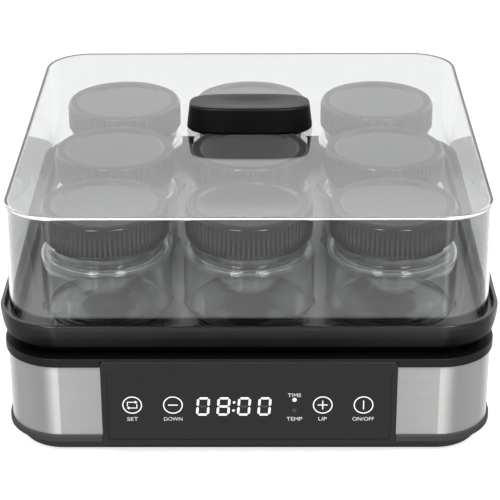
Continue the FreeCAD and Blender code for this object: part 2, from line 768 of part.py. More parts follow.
def jar_places():
    """Name and plan position of each jar."""
    places = {}
    for row, row_name in enumerate(ROWS):
        for column, column_name in enumerate(COLUMNS):
            across = (column - (len(COLUMNS) - 1) / 2) * JAR_PITCH
            deep = (row - (len(ROWS) - 1) / 2) * JAR_PITCH
            places[row_name + "_" + column_name] = V(across, deep, 0)
    return places


def lug_places():
    """Bosses that carry the heater retainer, at the middle of each side inside the skirt."""
    reach = CORNER + SKIRT_IN - RETAINER_LUG_SETBACK
    return [V(reach, 0, 0), V(0, reach, 0), V(-reach, 0, 0), V(0, -reach, 0)]


def jar_tray():
    tray = ring([
        (SKIRT_IN, Z_DECK - SKIRT_DEPTH),
        (SKIRT_OUT, Z_DECK - SKIRT_DEPTH),
        (SKIRT_OUT, Z_DECK),
        (SKIRT_OUT + NECK_FOOT_WIDTH, Z_DECK),
        (NECK_OUT, Z_DECK + NECK_UNDERCUT_RISE),
        (NECK_OUT, Z_SEAT - TRAY_WALL),
        (GUTTER_OUT - EDGE_ROUND, Z_SEAT - TRAY_WALL),
        (RIM_HEM_OUT - HEM_WALL, Z_HEM),
        (RIM_HEM_OUT, Z_HEM, EDGE_ROUND),
        (RIM_WAIST_OUT, Z_HEM + RIM_WAIST_RISE, WAIST_ROUND),
        (RIM_OUT, Z_RIM, EDGE_ROUND),
        (GUTTER_OUT, Z_RIM, EDGE_ROUND),
        (GUTTER_OUT, Z_SEAT, EDGE_ROUND),
        (TRAY_INSIDE_OUT, Z_SEAT, EDGE_ROUND),
        (TRAY_INSIDE_OUT, Z_LAND, WELL_DEPTH),
        (PLATE_OUT, Z_LAND),
        (PLATE_OUT, Z_TRAY_UNDER),
        (SKIRT_IN, Z_TRAY_UNDER),
    ])
    adds = [square_plate(PLATE_OUT, Z_TRAY_UNDER, Z_LAND)]
    adds += [rod(BOSS_RADIUS, Z_TRAY_UNDER - Z_PAD, V(lug.x, lug.y, Z_PAD)) for lug in lug_places()]
    posts = [V(place.x, place.y, Z_DECK) for place in tray_screw_places()]
    adds += [rod(POST_RADIUS, NECK_UNDERCUT_RISE, post) for post in posts]
    well = turned([(0, Z_WELL), (JAR_RADIUS + WELL_CLEARANCE, Z_WELL, EDGE_ROUND),
                   (JAR_RADIUS + WELL_CLEARANCE, Z_RIM), (0, Z_RIM)])
    cuts = [placed(well, place) for place in jar_places().values()]
    cuts += [pilot(V(lug.x, lug.y, Z_PAD), SCREW_LENGTH) for lug in lug_places()]
    cuts += [pilot(post, SCREW_LENGTH - DECK_WALL) for post in posts]
    return tray.multiFuse(adds).cut(Part.makeCompound(cuts)).removeSplitter()


def tray_screws():
    return [placed(screw(SCREW_LENGTH), V(place.x, place.y, Z_DECK - DECK_WALL))
            for place in tray_screw_places()]


def heater_sheet(bottom, top, radius=0):
    """Rounded square sheet of the heater stack, with the sensor and lead ports when they have a radius."""
    half = HEATER_SIZE / 2
    sheet = plate(half, half, HEATER_CORNER, bottom, top)
    return ported(sheet, bottom, top, radius) if radius else sheet


def ported(sheet, bottom, top, radius):
    ports = [rod(radius, top - bottom, V(place.x, place.y, bottom)) for place in (ORIGIN, lead_port_place())]
    return sheet.cut(Part.makeCompound(ports))


def heater_mat():
    mat = heater_sheet(Z_MAT, Z_HEATER)
    return mat.cut(rod(PORT_RADIUS, HEATER_MAT, V(0, 0, Z_MAT)))


def heater_retainer():
    reach = CORNER + SKIRT_IN - FIT
    arm = Part.makeBox(2 * reach, RETAINER_ARM, RETAINER_SHEET, V(-reach, -RETAINER_ARM / 2, Z_RETAINER))
    cross = [arm, placed(arm, ORIGIN)]
    cross[1].rotate(ORIGIN, UP, 90)
    sheet = heater_sheet(Z_RETAINER, Z_PAD).multiFuse(cross).removeSplitter()
    sheet = ported(sheet, Z_RETAINER, Z_PAD, PORT_RADIUS)
    holes = [clearance_hole(V(lug.x, lug.y, Z_RETAINER), RETAINER_SHEET) for lug in lug_places()]
    return sheet.cut(Part.makeCompound(holes))


def retainer_screws():
    return [placed(screw(SCREW_LENGTH), V(lug.x, lug.y, Z_RETAINER)) for lug in lug_places()]


def temperature_sensor():
    """Probe that reaches up to the heater plate, with a flange under the retainer."""
    flange_radius = PORT_RADIUS + SENSOR_FLANGE
    return turned([(0, Z_RETAINER - SENSOR_FLANGE), (flange_radius, Z_RETAINER - SENSOR_FLANGE, PART_ROUND),
                   (flange_radius, Z_RETAINER), (SENSOR_RADIUS, Z_RETAINER), (SENSOR_RADIUS, Z_HEATER),
                   (0, Z_HEATER)])


def thermal_fuse():
    """Fuse can in a saddle that is bonded to the underside of the retainer."""
    centre = Z_RETAINER - FUSE_RADIUS - SLIP
    saddle = Part.makeBox(SADDLE_LENGTH, SADDLE_WIDTH, FUSE_RADIUS + SLIP,
                          V(FUSE_PLACE - SADDLE_LENGTH / 2, -SADDLE_WIDTH / 2, centre))
    can = rod(FUSE_RADIUS, FUSE_LENGTH, V(FUSE_PLACE - FUSE_LENGTH / 2, 0, centre), V(1, 0, 0))
    return saddle.fuse(can).removeSplitter()


# Lid

def handle_screw_places():
    return [V(side * HANDLE_SCREW_SPACING / 2, 0, 0) for side in (-1, 1)]


def lid_shell():
    shell = ring([
        (LID_FOOT_IN, Z_SEAT),
        (LID_FOOT_OUT, Z_SEAT),
        (LID_TOP_OUT, Z_LID, LID_ROUND),
        (PLATE_OUT, Z_LID),
        (PLATE_OUT, Z_CEILING),
        (LID_TOP_IN, Z_CEILING, LID_INNER_ROUND),
    ])
    holes = [clearance_hole(V(place.x, place.y, Z_CEILING), LID_WALL) for place in handle_screw_places()]
    top = square_plate(PLATE_OUT, Z_CEILING, Z_LID)
    return shell.fuse(top).cut(Part.makeCompound(holes)).removeSplitter()


def oblong(half_length, half_depth, level):
    """Bowed oblong: a superellipse, closer to a rectangle as its squareness grows."""
    points = []
    power = 2 / HANDLE_SQUARENESS
    for step in range(HANDLE_OUTLINE_POINTS):
        angle = 2 * math.pi * step / HANDLE_OUTLINE_POINTS
        across = math.copysign(abs(math.cos(angle)) ** power, math.cos(angle))
        deep = math.copysign(abs(math.sin(angle)) ** power, math.sin(angle))
        points.append(V(half_length * across, half_depth * deep, level))
    curve = Part.BSplineCurve()
    curve.interpolate(points, PeriodicFlag=True)
    return Part.Wire(curve.toShape())


def tapered(inset, bottom, top):
    """Oblong block that follows the handle's taper, drawn in by an inset."""
    wires = []
    for level in (bottom, top):
        drawn_in = inset + HANDLE_TAPER * (level - Z_LID) / HANDLE_HEIGHT
        wires.append(oblong(HANDLE_LENGTH / 2 - drawn_in, HANDLE_DEPTH / 2 - drawn_in, level))
    return Part.makeLoft(wires, True, True)


def lid_handle():
    """Hollow grip with a dished top, standing on a drawn-in foot, with two screw bosses inside."""
    foot_top = Z_LID + HANDLE_FOOT_HEIGHT
    grip = tapered(0, foot_top, Z_HANDLE)
    top_edges = [edge for edge in grip.Edges if edge.BoundBox.ZMin > Z_HANDLE - HANDLE_ROUND]
    grip = grip.makeFillet(HANDLE_ROUND, top_edges)
    foot = tapered(HANDLE_FOOT_INSET, Z_LID, foot_top)
    roof = Z_HANDLE - HANDLE_DISH_DEPTH - HANDLE_WALL
    hollow = tapered(HANDLE_FOOT_INSET + HANDLE_WALL, Z_LID, roof)
    dish = Part.makeSphere(1)
    stretch = FreeCAD.Matrix()
    stretch.scale(HANDLE_LENGTH / 2 - HANDLE_TAPER - HANDLE_DISH_MARGIN,
                  HANDLE_DEPTH / 2 - HANDLE_TAPER - HANDLE_DISH_MARGIN, HANDLE_DISH_DEPTH)
    dish = dish.transformGeometry(stretch)
    dish.translate(V(0, 0, Z_HANDLE))
    bosses = [rod(BOSS_RADIUS, roof - Z_LID, V(place.x, place.y, Z_LID)) for place in handle_screw_places()]
    holes = [pilot(V(place.x, place.y, Z_LID), SCREW_LENGTH) for place in handle_screw_places()]
    shell = grip.fuse(foot).cut(hollow).cut(dish).multiFuse(bosses)
    return shell.cut(Part.makeCompound(holes)).removeSplitter()


def handle_screws():
    return [placed(screw(SCREW_LENGTH), V(place.x, place.y, Z_CEILING)) for place in handle_screw_places()]


# Jars, liners and caps, drawn on the Z axis and copied to their places

def jar():
    """Glass jar with a pushed-up foot, round shoulder, transfer bead and plain neck."""
    inner = JAR_RADIUS - JAR_WALL
    neck_inner = NECK_RADIUS - JAR_WALL
    shoulder = Z_NECK - SHOULDER_DROP
    foot_edge = JAR_RADIUS - JAR_FOOT_ROUND
    push_up = Z_WELL + JAR_PUSH_UP
    bead = Z_NECK + BEAD_ABOVE_SHOULDER
    bead_top = bead + BEAD_HEIGHT
    bead_radius = NECK_RADIUS + BEAD_RISE
    return turned([
        (0, push_up),
        (foot_edge - JAR_FOOT_RING, push_up),
        (foot_edge - JAR_FOOT_RING / 2, Z_WELL, JAR_FOOT_RING_ROUND),
        (JAR_RADIUS, Z_WELL, JAR_FOOT_ROUND),
        (JAR_RADIUS, shoulder, SHOULDER_ROUND),
        (NECK_RADIUS, Z_NECK, NECK_ROUND),
        (NECK_RADIUS, bead),
        (bead_radius, bead + BEAD_BEVEL, BEAD_ROUND),
        (bead_radius, bead_top - BEAD_BEVEL, BEAD_ROUND),
        (NECK_RADIUS, bead_top),
        (NECK_RADIUS, Z_MOUTH, MOUTH_ROUND),
        (neck_inner, Z_MOUTH, MOUTH_ROUND),
        (neck_inner, Z_NECK - JAR_WALL, SHOULDER_INNER_ROUND),
        (inner, shoulder - JAR_WALL, SHOULDER_INNER_ROUND),
        (inner, Z_WELL + JAR_FLOOR, JAR_FOOT_ROUND - JAR_WALL),
        (0, Z_WELL + JAR_FLOOR),
    ])


def cap_liner():
    radius = CAP_RADIUS - CAP_RIB_DEPTH - CAP_SKIRT_WALL - LINER_CLEARANCE
    top = Z_LINER + LINER_THICKNESS
    return turned([(0, Z_LINER), (radius, Z_LINER, LINER_ROUND), (radius, top, LINER_ROUND), (0, top)])


def cap_ribs(root, bottom, top):
    """Band of vertical V ribs around the skirt."""
    points = []
    for rib in range(CAP_RIB_COUNT):
        for half, radius in ((0, root), (0.5, CAP_RADIUS)):
            angle = 2 * math.pi * (rib + half) / CAP_RIB_COUNT
            points.append(V(radius * math.cos(angle), radius * math.sin(angle), bottom))
    points.append(points[0])
    star = Part.Face(Part.makePolygon(points)).extrude(V(0, 0, top - bottom))
    return star.cut(rod(root - CAP_SKIRT_WALL / 2, top - bottom, V(0, 0, bottom)))


def cap():
    """Screw cap: raised rim round a sunk panel, ribbed skirt, open below."""
    root = CAP_RADIUS - CAP_RIB_DEPTH
    inside = root - CAP_SKIRT_WALL
    panel = CAP_RADIUS - CAP_RIM_WIDTH
    body = turned([
        (0, Z_CAP_INSIDE),
        (inside, Z_CAP_INSIDE),
        (inside, Z_CAP_FOOT),
        (root, Z_CAP_FOOT, CAP_FOOT_ROUND),
        (root, Z_CAP_TOP, CAP_ROUND),
        (panel, Z_CAP_TOP, CAP_PANEL_ROUND),
        (panel - CAP_PANEL_SLOPE, Z_CAP_PANEL, CAP_PANEL_ROUND),
        (0, Z_CAP_PANEL),
    ])
    ribs = cap_ribs(root, Z_CAP_FOOT + CAP_RIB_MARGIN, Z_CAP_TOP - CAP_ROUND - CAP_RIB_MARGIN)
    return body.fuse(ribs).removeSplitter()


# Every piece in its own file

def build():
    os.makedirs("parts", exist_ok=True)
    save("rubber_feet", *rubber_feet())
    save("bottom_cover", bottom_cover())
    save("base_screws", *base_screws())
    save("base_housing", base_housing())
    save("steel_band", steel_band())
    save("cord_plate", cord_plate())
    save("cord_gland", cord_gland())
    save("panel_bezel", panel_bezel())
    save("touch_film", touch_film())
    save("control_board", control_board())
    save("display_module", display_module())
    save("touch_pads", *touch_pads())
    save("indicator_lamps", *indicator_lamps())
    save("power_board", power_board())
    save("board_screws", *board_screws())
    save("terminal_block", terminal_block())
    save("power_transformer", power_transformer())
    save("heater_relay", heater_relay())
    save("filter_capacitor", filter_capacitor())
    save("heater_leads", *heater_leads())
    save("panel_ribbon", panel_ribbon())
    save("jar_tray", jar_tray())
    save("tray_screws", *tray_screws())
    save("heater_plate", heater_sheet(Z_HEATER, Z_TRAY_UNDER))
    save("heater_mat", heater_mat())
    save("insulation_pad", heater_sheet(Z_PAD, Z_MAT, PORT_RADIUS))
    save("heater_retainer", heater_retainer())
    save("retainer_screws", *retainer_screws())
    save("temperature_sensor", temperature_sensor())
    save("thermal_fuse", thermal_fuse())
    save("lid_shell", lid_shell())
    save("lid_handle", lid_handle())
    save("handle_screws", *handle_screws())
    for name, place in jar_places().items():
        save("jar_" + name, placed(jar(), place))
        save("liner_" + name, placed(cap_liner(), place))
        save("cap_" + name, placed(cap(), place))


build()
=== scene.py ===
import math

import bmesh
import bpy
from mathutils import Matrix, Vector


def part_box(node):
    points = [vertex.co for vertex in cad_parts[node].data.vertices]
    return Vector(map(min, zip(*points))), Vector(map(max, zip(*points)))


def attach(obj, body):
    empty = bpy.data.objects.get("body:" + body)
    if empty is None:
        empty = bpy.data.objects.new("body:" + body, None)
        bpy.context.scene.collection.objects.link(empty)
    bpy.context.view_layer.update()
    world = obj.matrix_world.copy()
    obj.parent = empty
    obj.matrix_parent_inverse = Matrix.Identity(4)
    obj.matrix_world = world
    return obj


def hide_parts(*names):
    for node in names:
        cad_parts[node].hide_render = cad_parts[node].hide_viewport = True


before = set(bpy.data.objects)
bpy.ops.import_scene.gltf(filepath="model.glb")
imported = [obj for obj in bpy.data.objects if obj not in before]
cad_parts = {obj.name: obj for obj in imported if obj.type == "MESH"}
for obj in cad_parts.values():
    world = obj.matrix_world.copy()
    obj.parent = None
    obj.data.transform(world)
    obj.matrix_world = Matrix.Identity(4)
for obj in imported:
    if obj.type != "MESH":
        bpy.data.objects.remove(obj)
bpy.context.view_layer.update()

bl_info = {
    "name": "Nine-jar yogurt maker",
    "version": (1, 0, 0),
    "blender": (4, 5, 0),
    "location": "View3D > Sidebar > Yogurt maker",
    "description": "Dresses the CAD frame of a nine-jar yogurt maker: lid, jars, caps, base, panel, stage",
    "category": "Object",
}

# Lengths are in metres. The front is -Y, up is +Z, the origin is on the table under the middle.
MM = 0.001
# Points closer than this are one point
TOUCH = MM / 1000
# A point within this of a wall's radius lies on that wall
ON_WALL = MM / 100
ROWS = ("front", "middle", "back")
COLUMNS = ("left", "centre", "right")
PLACES = [row + "_" + column for row in ROWS for column in COLUMNS]


def linear(code):
    """Linear colour from an sRGB hex code."""
    channels = [int(code[place:place + 2], 16) / 255 for place in (1, 3, 5)]
    return [c / 12.92 if c <= 0.04045 else ((c + 0.055) / 1.055) ** 2.4 for c in channels] + [1.0]


# Properties

def length(name, description, millimetres):
    return bpy.props.FloatProperty(name=name, description=description, default=millimetres * MM,
                                   unit="LENGTH", precision=5)


def turn(name, description, degrees):
    return bpy.props.FloatProperty(name=name, description=description, default=math.radians(degrees),
                                   subtype="ANGLE")


def colour(name, description, code):
    return bpy.props.FloatVectorProperty(name=name, description=description, size=4, subtype="COLOR",
                                         min=0.0, max=1.0, default=linear(code))


def position(name, description, metres):
    return bpy.props.FloatVectorProperty(name=name, description=description, size=3,
                                         subtype="TRANSLATION", default=metres)


def number(name, description, value):
    return bpy.props.FloatProperty(name=name, description=description, default=value)


class LidSizes(bpy.types.PropertyGroup):
    corner: length("Corner centre", "Distance of the corner centres from the middle, each way", 100.0)
    wall: length("Wall", "Thickness of the lid's wall and top", 1.5)
    draw: length("Draw", "How much wider the lid is at its foot, on each side", 0.5)
    edge: length("Edge round", "Radius of the top edge outside", 1.1)
    inner_edge: length("Inner round", "Radius of the top edge inside", 0.85)
    lip: length("Lip round", "Radius of the foot's two edges", 0.35)
    screw_hole: length("Screw hole", "Radius of the two holes under the handle", 1.7)
    screw_spacing: length("Screw spacing", "Distance between the two handle screws", 42.0)
    grip_front: length("Grip front", "How far the grip reaches to the front of the middle", 15.4)
    grip_back: length("Grip back", "How far the grip reaches behind the middle", 13.8)
    grip_taper: length("Grip taper", "How much narrower the grip is on top, on each side", 1.7)
    grip_edge: length("Grip edge", "Radius of the grip's top edge", 1.6)
    grip_foot: length("Grip foot", "Height of the foot under the grip", 1.3)
    grip_inset: length("Foot inset", "How far the foot stands back under the grip", 1.6)
    grip_dish: length("Grip dish", "Depth of the hollow on the grip", 1.0)
    grip_square: number("Grip squareness", "Power of the grip's outline: 2 is an ellipse", 3.2)
    tint: colour("Clear plastic", "Tint of the clear lid", "#f0f1f1")
    handle: colour("Handle", "Colour of the lid's handle", "#0d0d0e")


class JarSizes(bpy.types.PropertyGroup):
    wall: length("Wall", "Thickness of the glass", 2.6)
    floor: length("Floor", "Thickness of the jar's floor", 2.8)
    push_up: length("Push-up", "Height of the hollow under the foot", 0.8)
    foot_ring: length("Foot ring", "Width of the ring that the jar stands on", 14.0)
    foot_round: length("Foot round", "Radius between foot and side", 6.5)
    inner_foot: length("Inner foot round", "Radius between floor and side inside", 3.9)
    neck: length("Neck radius", "Outer radius of the neck", 31.2)
    neck_height: length("Neck height", "Height of the neck above the shoulder", 18.5)
    shoulder: length("Shoulder", "Height of the shoulder's slope", 2.0)
    shoulder_round: length("Shoulder round", "Radius between side and shoulder", 6.0)
    shoulder_inner: length("Inner shoulder", "Radius of the shoulder's bends inside", 2.0)
    neck_round: length("Neck round", "Radius between shoulder and neck", 1.0)
    bead_level: length("Bead level", "Height of the transfer bead above the shoulder", 3.1)
    bead: length("Bead", "How far the transfer bead stands out", 1.1)
    bead_height: length("Bead height", "Height of the transfer bead", 1.8)
    bead_bevel: length("Bead bevel", "Height of the bead's sloping sides", 0.6)
    bead_round: length("Bead round", "Radius of the bead's edges", 0.45)
    mouth_round: length("Mouth round", "Radius of the fire-polished lip", 0.9)
    pitch: length("Thread pitch", "Rise of the thread in one turn", 3.0)
    thread: length("Thread height", "How far the thread stands out", 0.5)
    thread_width: length("Thread width", "Width of the thread's ridge", 1.3)
    thread_start: length("Thread start", "Height of the thread's start above the shoulder", 8.9)
    tint: colour("Jar glass", "Tint of the jar glass", "#f3f5f5")


class CapSizes(bpy.types.PropertyGroup):
    ribs: bpy.props.IntProperty(name="Ribs", description="Grip ribs around the skirt", default=78)
    rib_depth: length("Rib depth", "How far the ribs stand out", 0.8)
    rib_margin: length("Rib margin", "Plain strip below the ribs", 0.6)
    rib_ends: length("Rib ends", "Height over which a rib fades out at each end", 0.5)
    wall: length("Skirt wall", "Thickness of the skirt between ribs", 1.45)
    top: length("Top wall", "Thickness of the sunk panel", 1.1)
    rim: length("Rim width", "Width of the raised ring on top", 6.2)
    rise: length("Rim rise", "How far the ring stands above the panel", 1.4)
    slope: length("Panel slope", "How far the panel's wall leans in", 1.2)
    panel_round: length("Panel round", "Radius where the ring falls to the panel", 2.4)
    panel_foot: length("Panel foot", "Radius where the panel starts", 0.6)
    edge: length("Edge round", "Radius of the cap's top edge", 1.3)
    foot_edge: length("Foot round", "Radius of the skirt's two lower edges", 0.3)
    tint: colour("Cap plastic", "Colour of the screw caps", "#2a2b2d")
    liner: colour("Liner foam", "Colour of the sealing liners", "#d9d6cd")


class BaseLooks(bpy.types.PropertyGroup):
    black: colour("Black plastic", "Colour of the housing, the tray and the panel's frame", "#0f0f10")
    # Below this height the tray's reflection is taken out: painted shade
    hem: length("Hem", "Height of the lower edge of the tray's rim", 67.6)
    # The plinth's grey is lighter than the black as a painted reflection of the table
    plinth: colour("Plinth plastic", "Colour of the plinth and the bottom", "#3f3f40")
    steel: colour("Steel", "Colour of the brushed band", "#e3e3e2")
    rubber: colour("Rubber", "Colour of the feet and the cord gland", "#19191a")
    streak: length("Brush line", "Distance between brush lines, drawn coarser than real ones", 0.45)
    streak_length: length("Brush length", "Length of a brush line", 60.0)


class PanelSizes(bpy.types.PropertyGroup):
    film: colour("Film", "Colour of the printed film", "#1f1f1f")
    ink: colour("Ink", "Colour of the printed words", "#f2f2f2")
    glow: colour("Glow", "Colour of the lit digits and keys", "#ffffff")
    unlit: colour("Unlit window", "Colour of a window with no lamp on", "#464646")
    proud: length("Print height", "How far the print stands out of the film", 0.06)
    shift: length("Shift", "How far the print sits to the right of the middle", -0.65)
    key_level: length("Key level", "Height of the keys' centres", 33.5)
    outer_key: length("Outer keys", "Distance of the outer keys from the middle", 61.0)
    inner_key: length("Inner keys", "Distance of the inner keys from the middle", 39.5)
    key_ring: length("Key ring", "Outer radius of the ring round a key", 5.2)
    line: length("Line", "Width of the printed lines", 0.56)
    sign: length("Sign", "Half the length of the minus, plus and power signs", 2.4)
    word_level: length("Words", "Height of the words under the keys", 25.05)
    word_height: length("Word height", "Height of a capital", 2.2)
    word_rise: length("Upper word", "Height of the upper lamp's word above the keys' centres", 5.9)
    digit_left: length("First digit", "Left edge of the first digit's foot", -28.15)
    digit_level: length("Digits", "Height of the digits' feet", 27.1)
    digit_pitch: length("Digit pitch", "Distance from one digit to the next", 10.8)
    digit_width: length("Digit width", "Width of a digit", 6.9)
    digit_height: length("Digit height", "Height of a digit", 11.1)
    segment: length("Segment", "Width of a digit's segment", 1.25)
    segment_gap: length("Segment gap", "Gap between segments", 0.3)
    slant: turn("Slant", "How far the digits lean", 4.5)
    colon: length("Colon", "How far the colon's dots lie above and below the digits' middle", 2.45)
    dot: length("Dot", "Radius of the colon's dots", 0.72)
    lamp: length("Lamp", "Place of the two lamps", 24.6)
    lamp_rise: length("Lamp rise", "How far the lamps lie above and below the keys' centres", 3.15)
    lamp_radius: length("Lamp radius", "Radius of a lamp's window", 1.15)


class StageSizes(bpy.types.PropertyGroup):
    eye: position("Camera", "Place of the camera", (0.00676, -0.93861, 0.5078))
    pitch: turn("Pitch", "How far the camera looks down", 25.4)
    yaw: turn("Yaw", "How far the camera turns left", 0.418)
    roll: turn("Roll", "How far the camera tilts", -0.252)
    lens: number("Lens", "Focal length in millimetres on a 36 mm sensor", 127.51)
    floor: colour("Floor", "Colour of the pale floor", "#f4f4f4")
    lift: number("Lift", "Light added to the paper where the camera sees it", 0.72)
    lift_through: number("Lift through", "Light added to the paper where it is seen through the lid", 0.58)
    lamp_width: length("Lamp width", "Width of a softbox", 330.0)
    lamp_height: length("Lamp height", "Height of a softbox", 900.0)
    lamp_place: position("Softbox", "Place of the right softbox", (0.5, -0.985, 1.12))
    lamp_aim: position("Lamp aim", "Place that both softboxes are aimed at", (0.0, 0.0, 0.1))
    lamp_power: number("Lamp power", "Power of each softbox in watts", 10.1)
    room: number("Room light", "Strength of the white room on matt surfaces", 0.25)
    back: number("Room back", "Strength of the wall behind, as gloss shows it", 1.18)
    side: number("Room side", "Strength of the walls beside, as gloss shows them", 0.75)
    high: number("Room high", "Strength of the wall's upper part, as gloss shows it", 1.6)
    ceiling: number("Ceiling", "Strength of the dark ceiling, as gloss shows it", 0.15)
    yard: number("Table back", "Strength of the table beside and behind, as gloss shows it", 0.35)
    front: number("Room front", "Strength of the dim room in front, as gloss shows it", 0.2)
    glare: number("Glare", "Strength added by the table's bright edge in front, as gloss shows it", 0.78)
    table: number("Table front", "Strength of the table in front, as gloss shows it", 0.6)
    shade: number("Shade", "Strength of the shaded table close in front, as gloss shows it", 0.03)
    strip: number("Strip", "Strength added by two bright strips in front, as gloss shows them", 0.75)
    strip_bearing: turn("Strip bearing", "How far each strip stands to the side", 14.0)
    strip_turn: turn("Strip turn", "How far the strips are turned to the left together", 1.0)


# Meshes

def rounded(points, steps=12):
    """Path through (across, up) points, with an arc where a point also gives a corner radius."""
    path = []
    for index, point in enumerate(points):
        here = Vector(point[:2])
        if len(point) < 3:
            path.append(here)
            continue
        radius = point[2]
        back = (Vector(points[index - 1][:2]) - here).normalized()
        onward = (Vector(points[(index + 1) % len(points)][:2]) - here).normalized()
        half_angle = back.angle(onward) / 2
        centre = here + (back + onward).normalized() * (radius / math.sin(half_angle))
        start = here + back * (radius / math.tan(half_angle)) - centre
        end = here + onward * (radius / math.tan(half_angle)) - centre
        for step in range(steps + 1):
            path.append(centre + start.slerp(end, step / steps) * radius)
    return path


def eased(path, margin):
    """Path with two more points near the ends of each long run, so that flat faces shade flat."""
    result = [path[0]]
    for before, here in zip(path, path[1:]):
        run = (here - before).length
        if run > 4 * margin:
            result.append(before.lerp(here, margin / run))
            result.append(here.lerp(before, margin / run))
        result.append(here)
    return result


def circle(x, y, radius, count=48):
    angles = [2 * math.pi * step / count for step in range(count)]
    return [(x + radius * math.cos(angle), y + radius * math.sin(angle)) for angle in angles]


def bands(rows):
    """Faces between neighbouring rows of point numbers, each row closed on itself."""
    faces = []
    for low, high in zip(rows, rows[1:]):
        for column in range(len(low)):
            after = (column + 1) % len(low)
            corners = [low[column], low[after], high[after], high[column]]
            faces.append(list(dict.fromkeys(corners)))
    return faces


def swept(rows):
    """Points and faces of a skin over closed rows of points."""
    count = len(rows[0])
    numbers = [range(row * count, (row + 1) * count) for row in range(len(rows))]
    return [spot for row in rows for spot in row], bands(numbers)


def lathe(path, columns, relief):
    """Points and faces turned about Z from an axis point to an axis point; relief adds to the radius."""
    points = []
    rows = []
    for spot in path:
        if spot.x < TOUCH:
            rows.append([len(points)] * columns)
            points.append((0.0, 0.0, spot.y))
            continue
        rows.append(range(len(points), len(points) + columns))
        for column in range(columns):
            angle = 2 * math.pi * column / columns
            radius = spot.x + relief(angle, spot)
            points.append((radius * math.cos(angle), radius * math.sin(angle), spot.y))
    return points, bands(rows)


def rounded_square(corner, out, level, steps=30):
    """Points round a square with arcs about its corner centres, and a spare point on each run's ends."""
    spare = out / steps
    points = []
    for quarter in range(4):
        spin = Matrix.Rotation(math.pi / 2 * quarter, 3, "Z")
        arc = [Vector((corner + out, corner - spare, level))]
        for step in range(steps + 1):
            angle = math.pi / 2 * step / steps
            arc.append(Vector((corner + out * math.cos(angle), corner + out * math.sin(angle), level)))
        arc.append(Vector((corner - spare, corner + out, level)))
        points += [spin @ spot for spot in arc]
    return points


def joined(parts):
    """One list of points and faces out of several."""
    points = []
    faces = []
    for part_points, part_faces in parts:
        shift = len(points)
        points += [tuple(spot) for spot in part_points]
        faces += [[corner + shift for corner in face] for face in part_faces]
    return points, faces


def mesh_of(name, part, crease=35.0):
    """Smooth-shaded mesh with sharp edges where faces meet at more than the crease angle in degrees."""
    points, faces = part
    mesh = bpy.data.meshes.new(name)
    mesh.from_pydata(points, [], faces)
    shape = bmesh.new()
    shape.from_mesh(mesh)
    bmesh.ops.remove_doubles(shape, verts=shape.verts, dist=TOUCH)
    bmesh.ops.recalc_face_normals(shape, faces=shape.faces)
    shape.to_mesh(mesh)
    shape.free()
    mesh.shade_smooth()
    mesh.set_sharp_from_angle(angle=math.radians(crease))
    return mesh


def add_piece(name, mesh, finish, body, slot, replaced=(), place=(0.0, 0.0, 0.0)):
    """Object for a mesh, with its finish, riding on a body of the frame."""
    piece = bpy.data.objects.new(name, mesh)
    bpy.context.scene.collection.objects.link(piece)
    piece.location = place
    if not mesh.materials:
        mesh.materials.append(finish)
    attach(piece, body)
    if replaced:
        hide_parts(*replaced)


def add_nine(kind, node, mesh, finish, slot):
    """One piece for each of nine like nodes, where the node is and on its body."""
    for place in PLACES:
        name = node + "_" + place
        low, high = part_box(name)
        centre = (low + high) / 2
        add_piece(kind + "_" + place, mesh, finish, name + "_body", slot, [name], (centre.x, centre.y, 0.0))


def finish_nodes(finish, *names):
    """Gives CAD nodes their finish."""
    for name in names:
        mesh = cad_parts[name].data
        mesh.materials.clear()
        mesh.materials.append(finish)


# Materials

def add(tree, kind, inputs=(), **settings):
    """Adds one shader node; its inputs, in order or by name, are values, sockets or nodes to link."""
    node = tree.nodes.new("ShaderNode" + kind)
    for name, value in settings.items():
        setattr(node, name, value)
    sockets = [socket for socket in node.inputs if socket.enabled]
    if isinstance(inputs, dict):
        sockets = [node.inputs[name] for name in inputs]
        inputs = inputs.values()
    for socket, value in zip(sockets, inputs):
        if isinstance(value, bpy.types.Node):
            value = next(output for output in value.outputs if output.enabled)
        if isinstance(value, bpy.types.NodeSocket):
            tree.links.new(value, socket)
        else:
            socket.default_value = value
    return node


def blank(name):
    """New material with an empty node tree."""
    material = bpy.data.materials.new(name)
    material.use_nodes = True
    material.node_tree.nodes.clear()
    return material, material.node_tree


def scaled(tint, factor):
    """Colour made darker or lighter, at most to white."""
    return [min(channel * factor, 1.0) for channel in tint[:3]] + [1.0]


def grained(name, tint, roughness, grain, depth, metallic=0.0, mottle=0.12, ior=1.5, spread=0.06):
    """Opaque surface with slow mottling, uneven gloss and a grain of a size and depth in millimetres.

    A grain that is too fine to show is drawn at half a millimetre or more. The IOR is a number, or a
    function that adds the nodes for it.
    """
    material, tree = blank(name)
    place = add(tree, "TexCoord").outputs["Object"]
    fine = add(tree, "TexNoise", {"Vector": place, "Scale": 1 / (grain * MM), "Detail": 3.0})
    patch = 18 * MM
    slow = add(tree, "TexNoise", {"Vector": place, "Scale": 1 / patch, "Detail": 2.0})
    shade = add(tree, "Mix", (slow, scaled(tint, 1 - mottle), scaled(tint, 1 + mottle)), data_type="RGBA")
    gloss = add(tree, "MapRange", (slow, 0.0, 1.0, roughness - spread, roughness + spread))
    bump = add(tree, "Bump", {"Height": fine, "Strength": 1.0, "Distance": depth * MM})
    skin = add(tree, "BsdfPrincipled", {
        "Base Color": shade, "Metallic": metallic, "Roughness": gloss,
        "IOR": ior(tree) if callable(ior) else ior, "Normal": bump})
    add(tree, "OutputMaterial", {"Surface": skin})
    return material


def facing_up(tree):
    """How far a face looks up: 1 on top, 0 on a wall, -1 underneath."""
    facing = add(tree, "NewGeometry").outputs["Normal"]
    return add(tree, "SeparateXYZ", (facing,)).outputs["Z"]


def painted_sheen_and_shade_ior(side, top):
    """IOR that differs between walls and tops: a top with the higher IOR has a painted sheen, a top with the
    lower IOR a painted shade.
    """
    wall, level = 0.3, 0.7
    return lambda tree: add(tree, "MapRange", (facing_up(tree), wall, level, side, top))


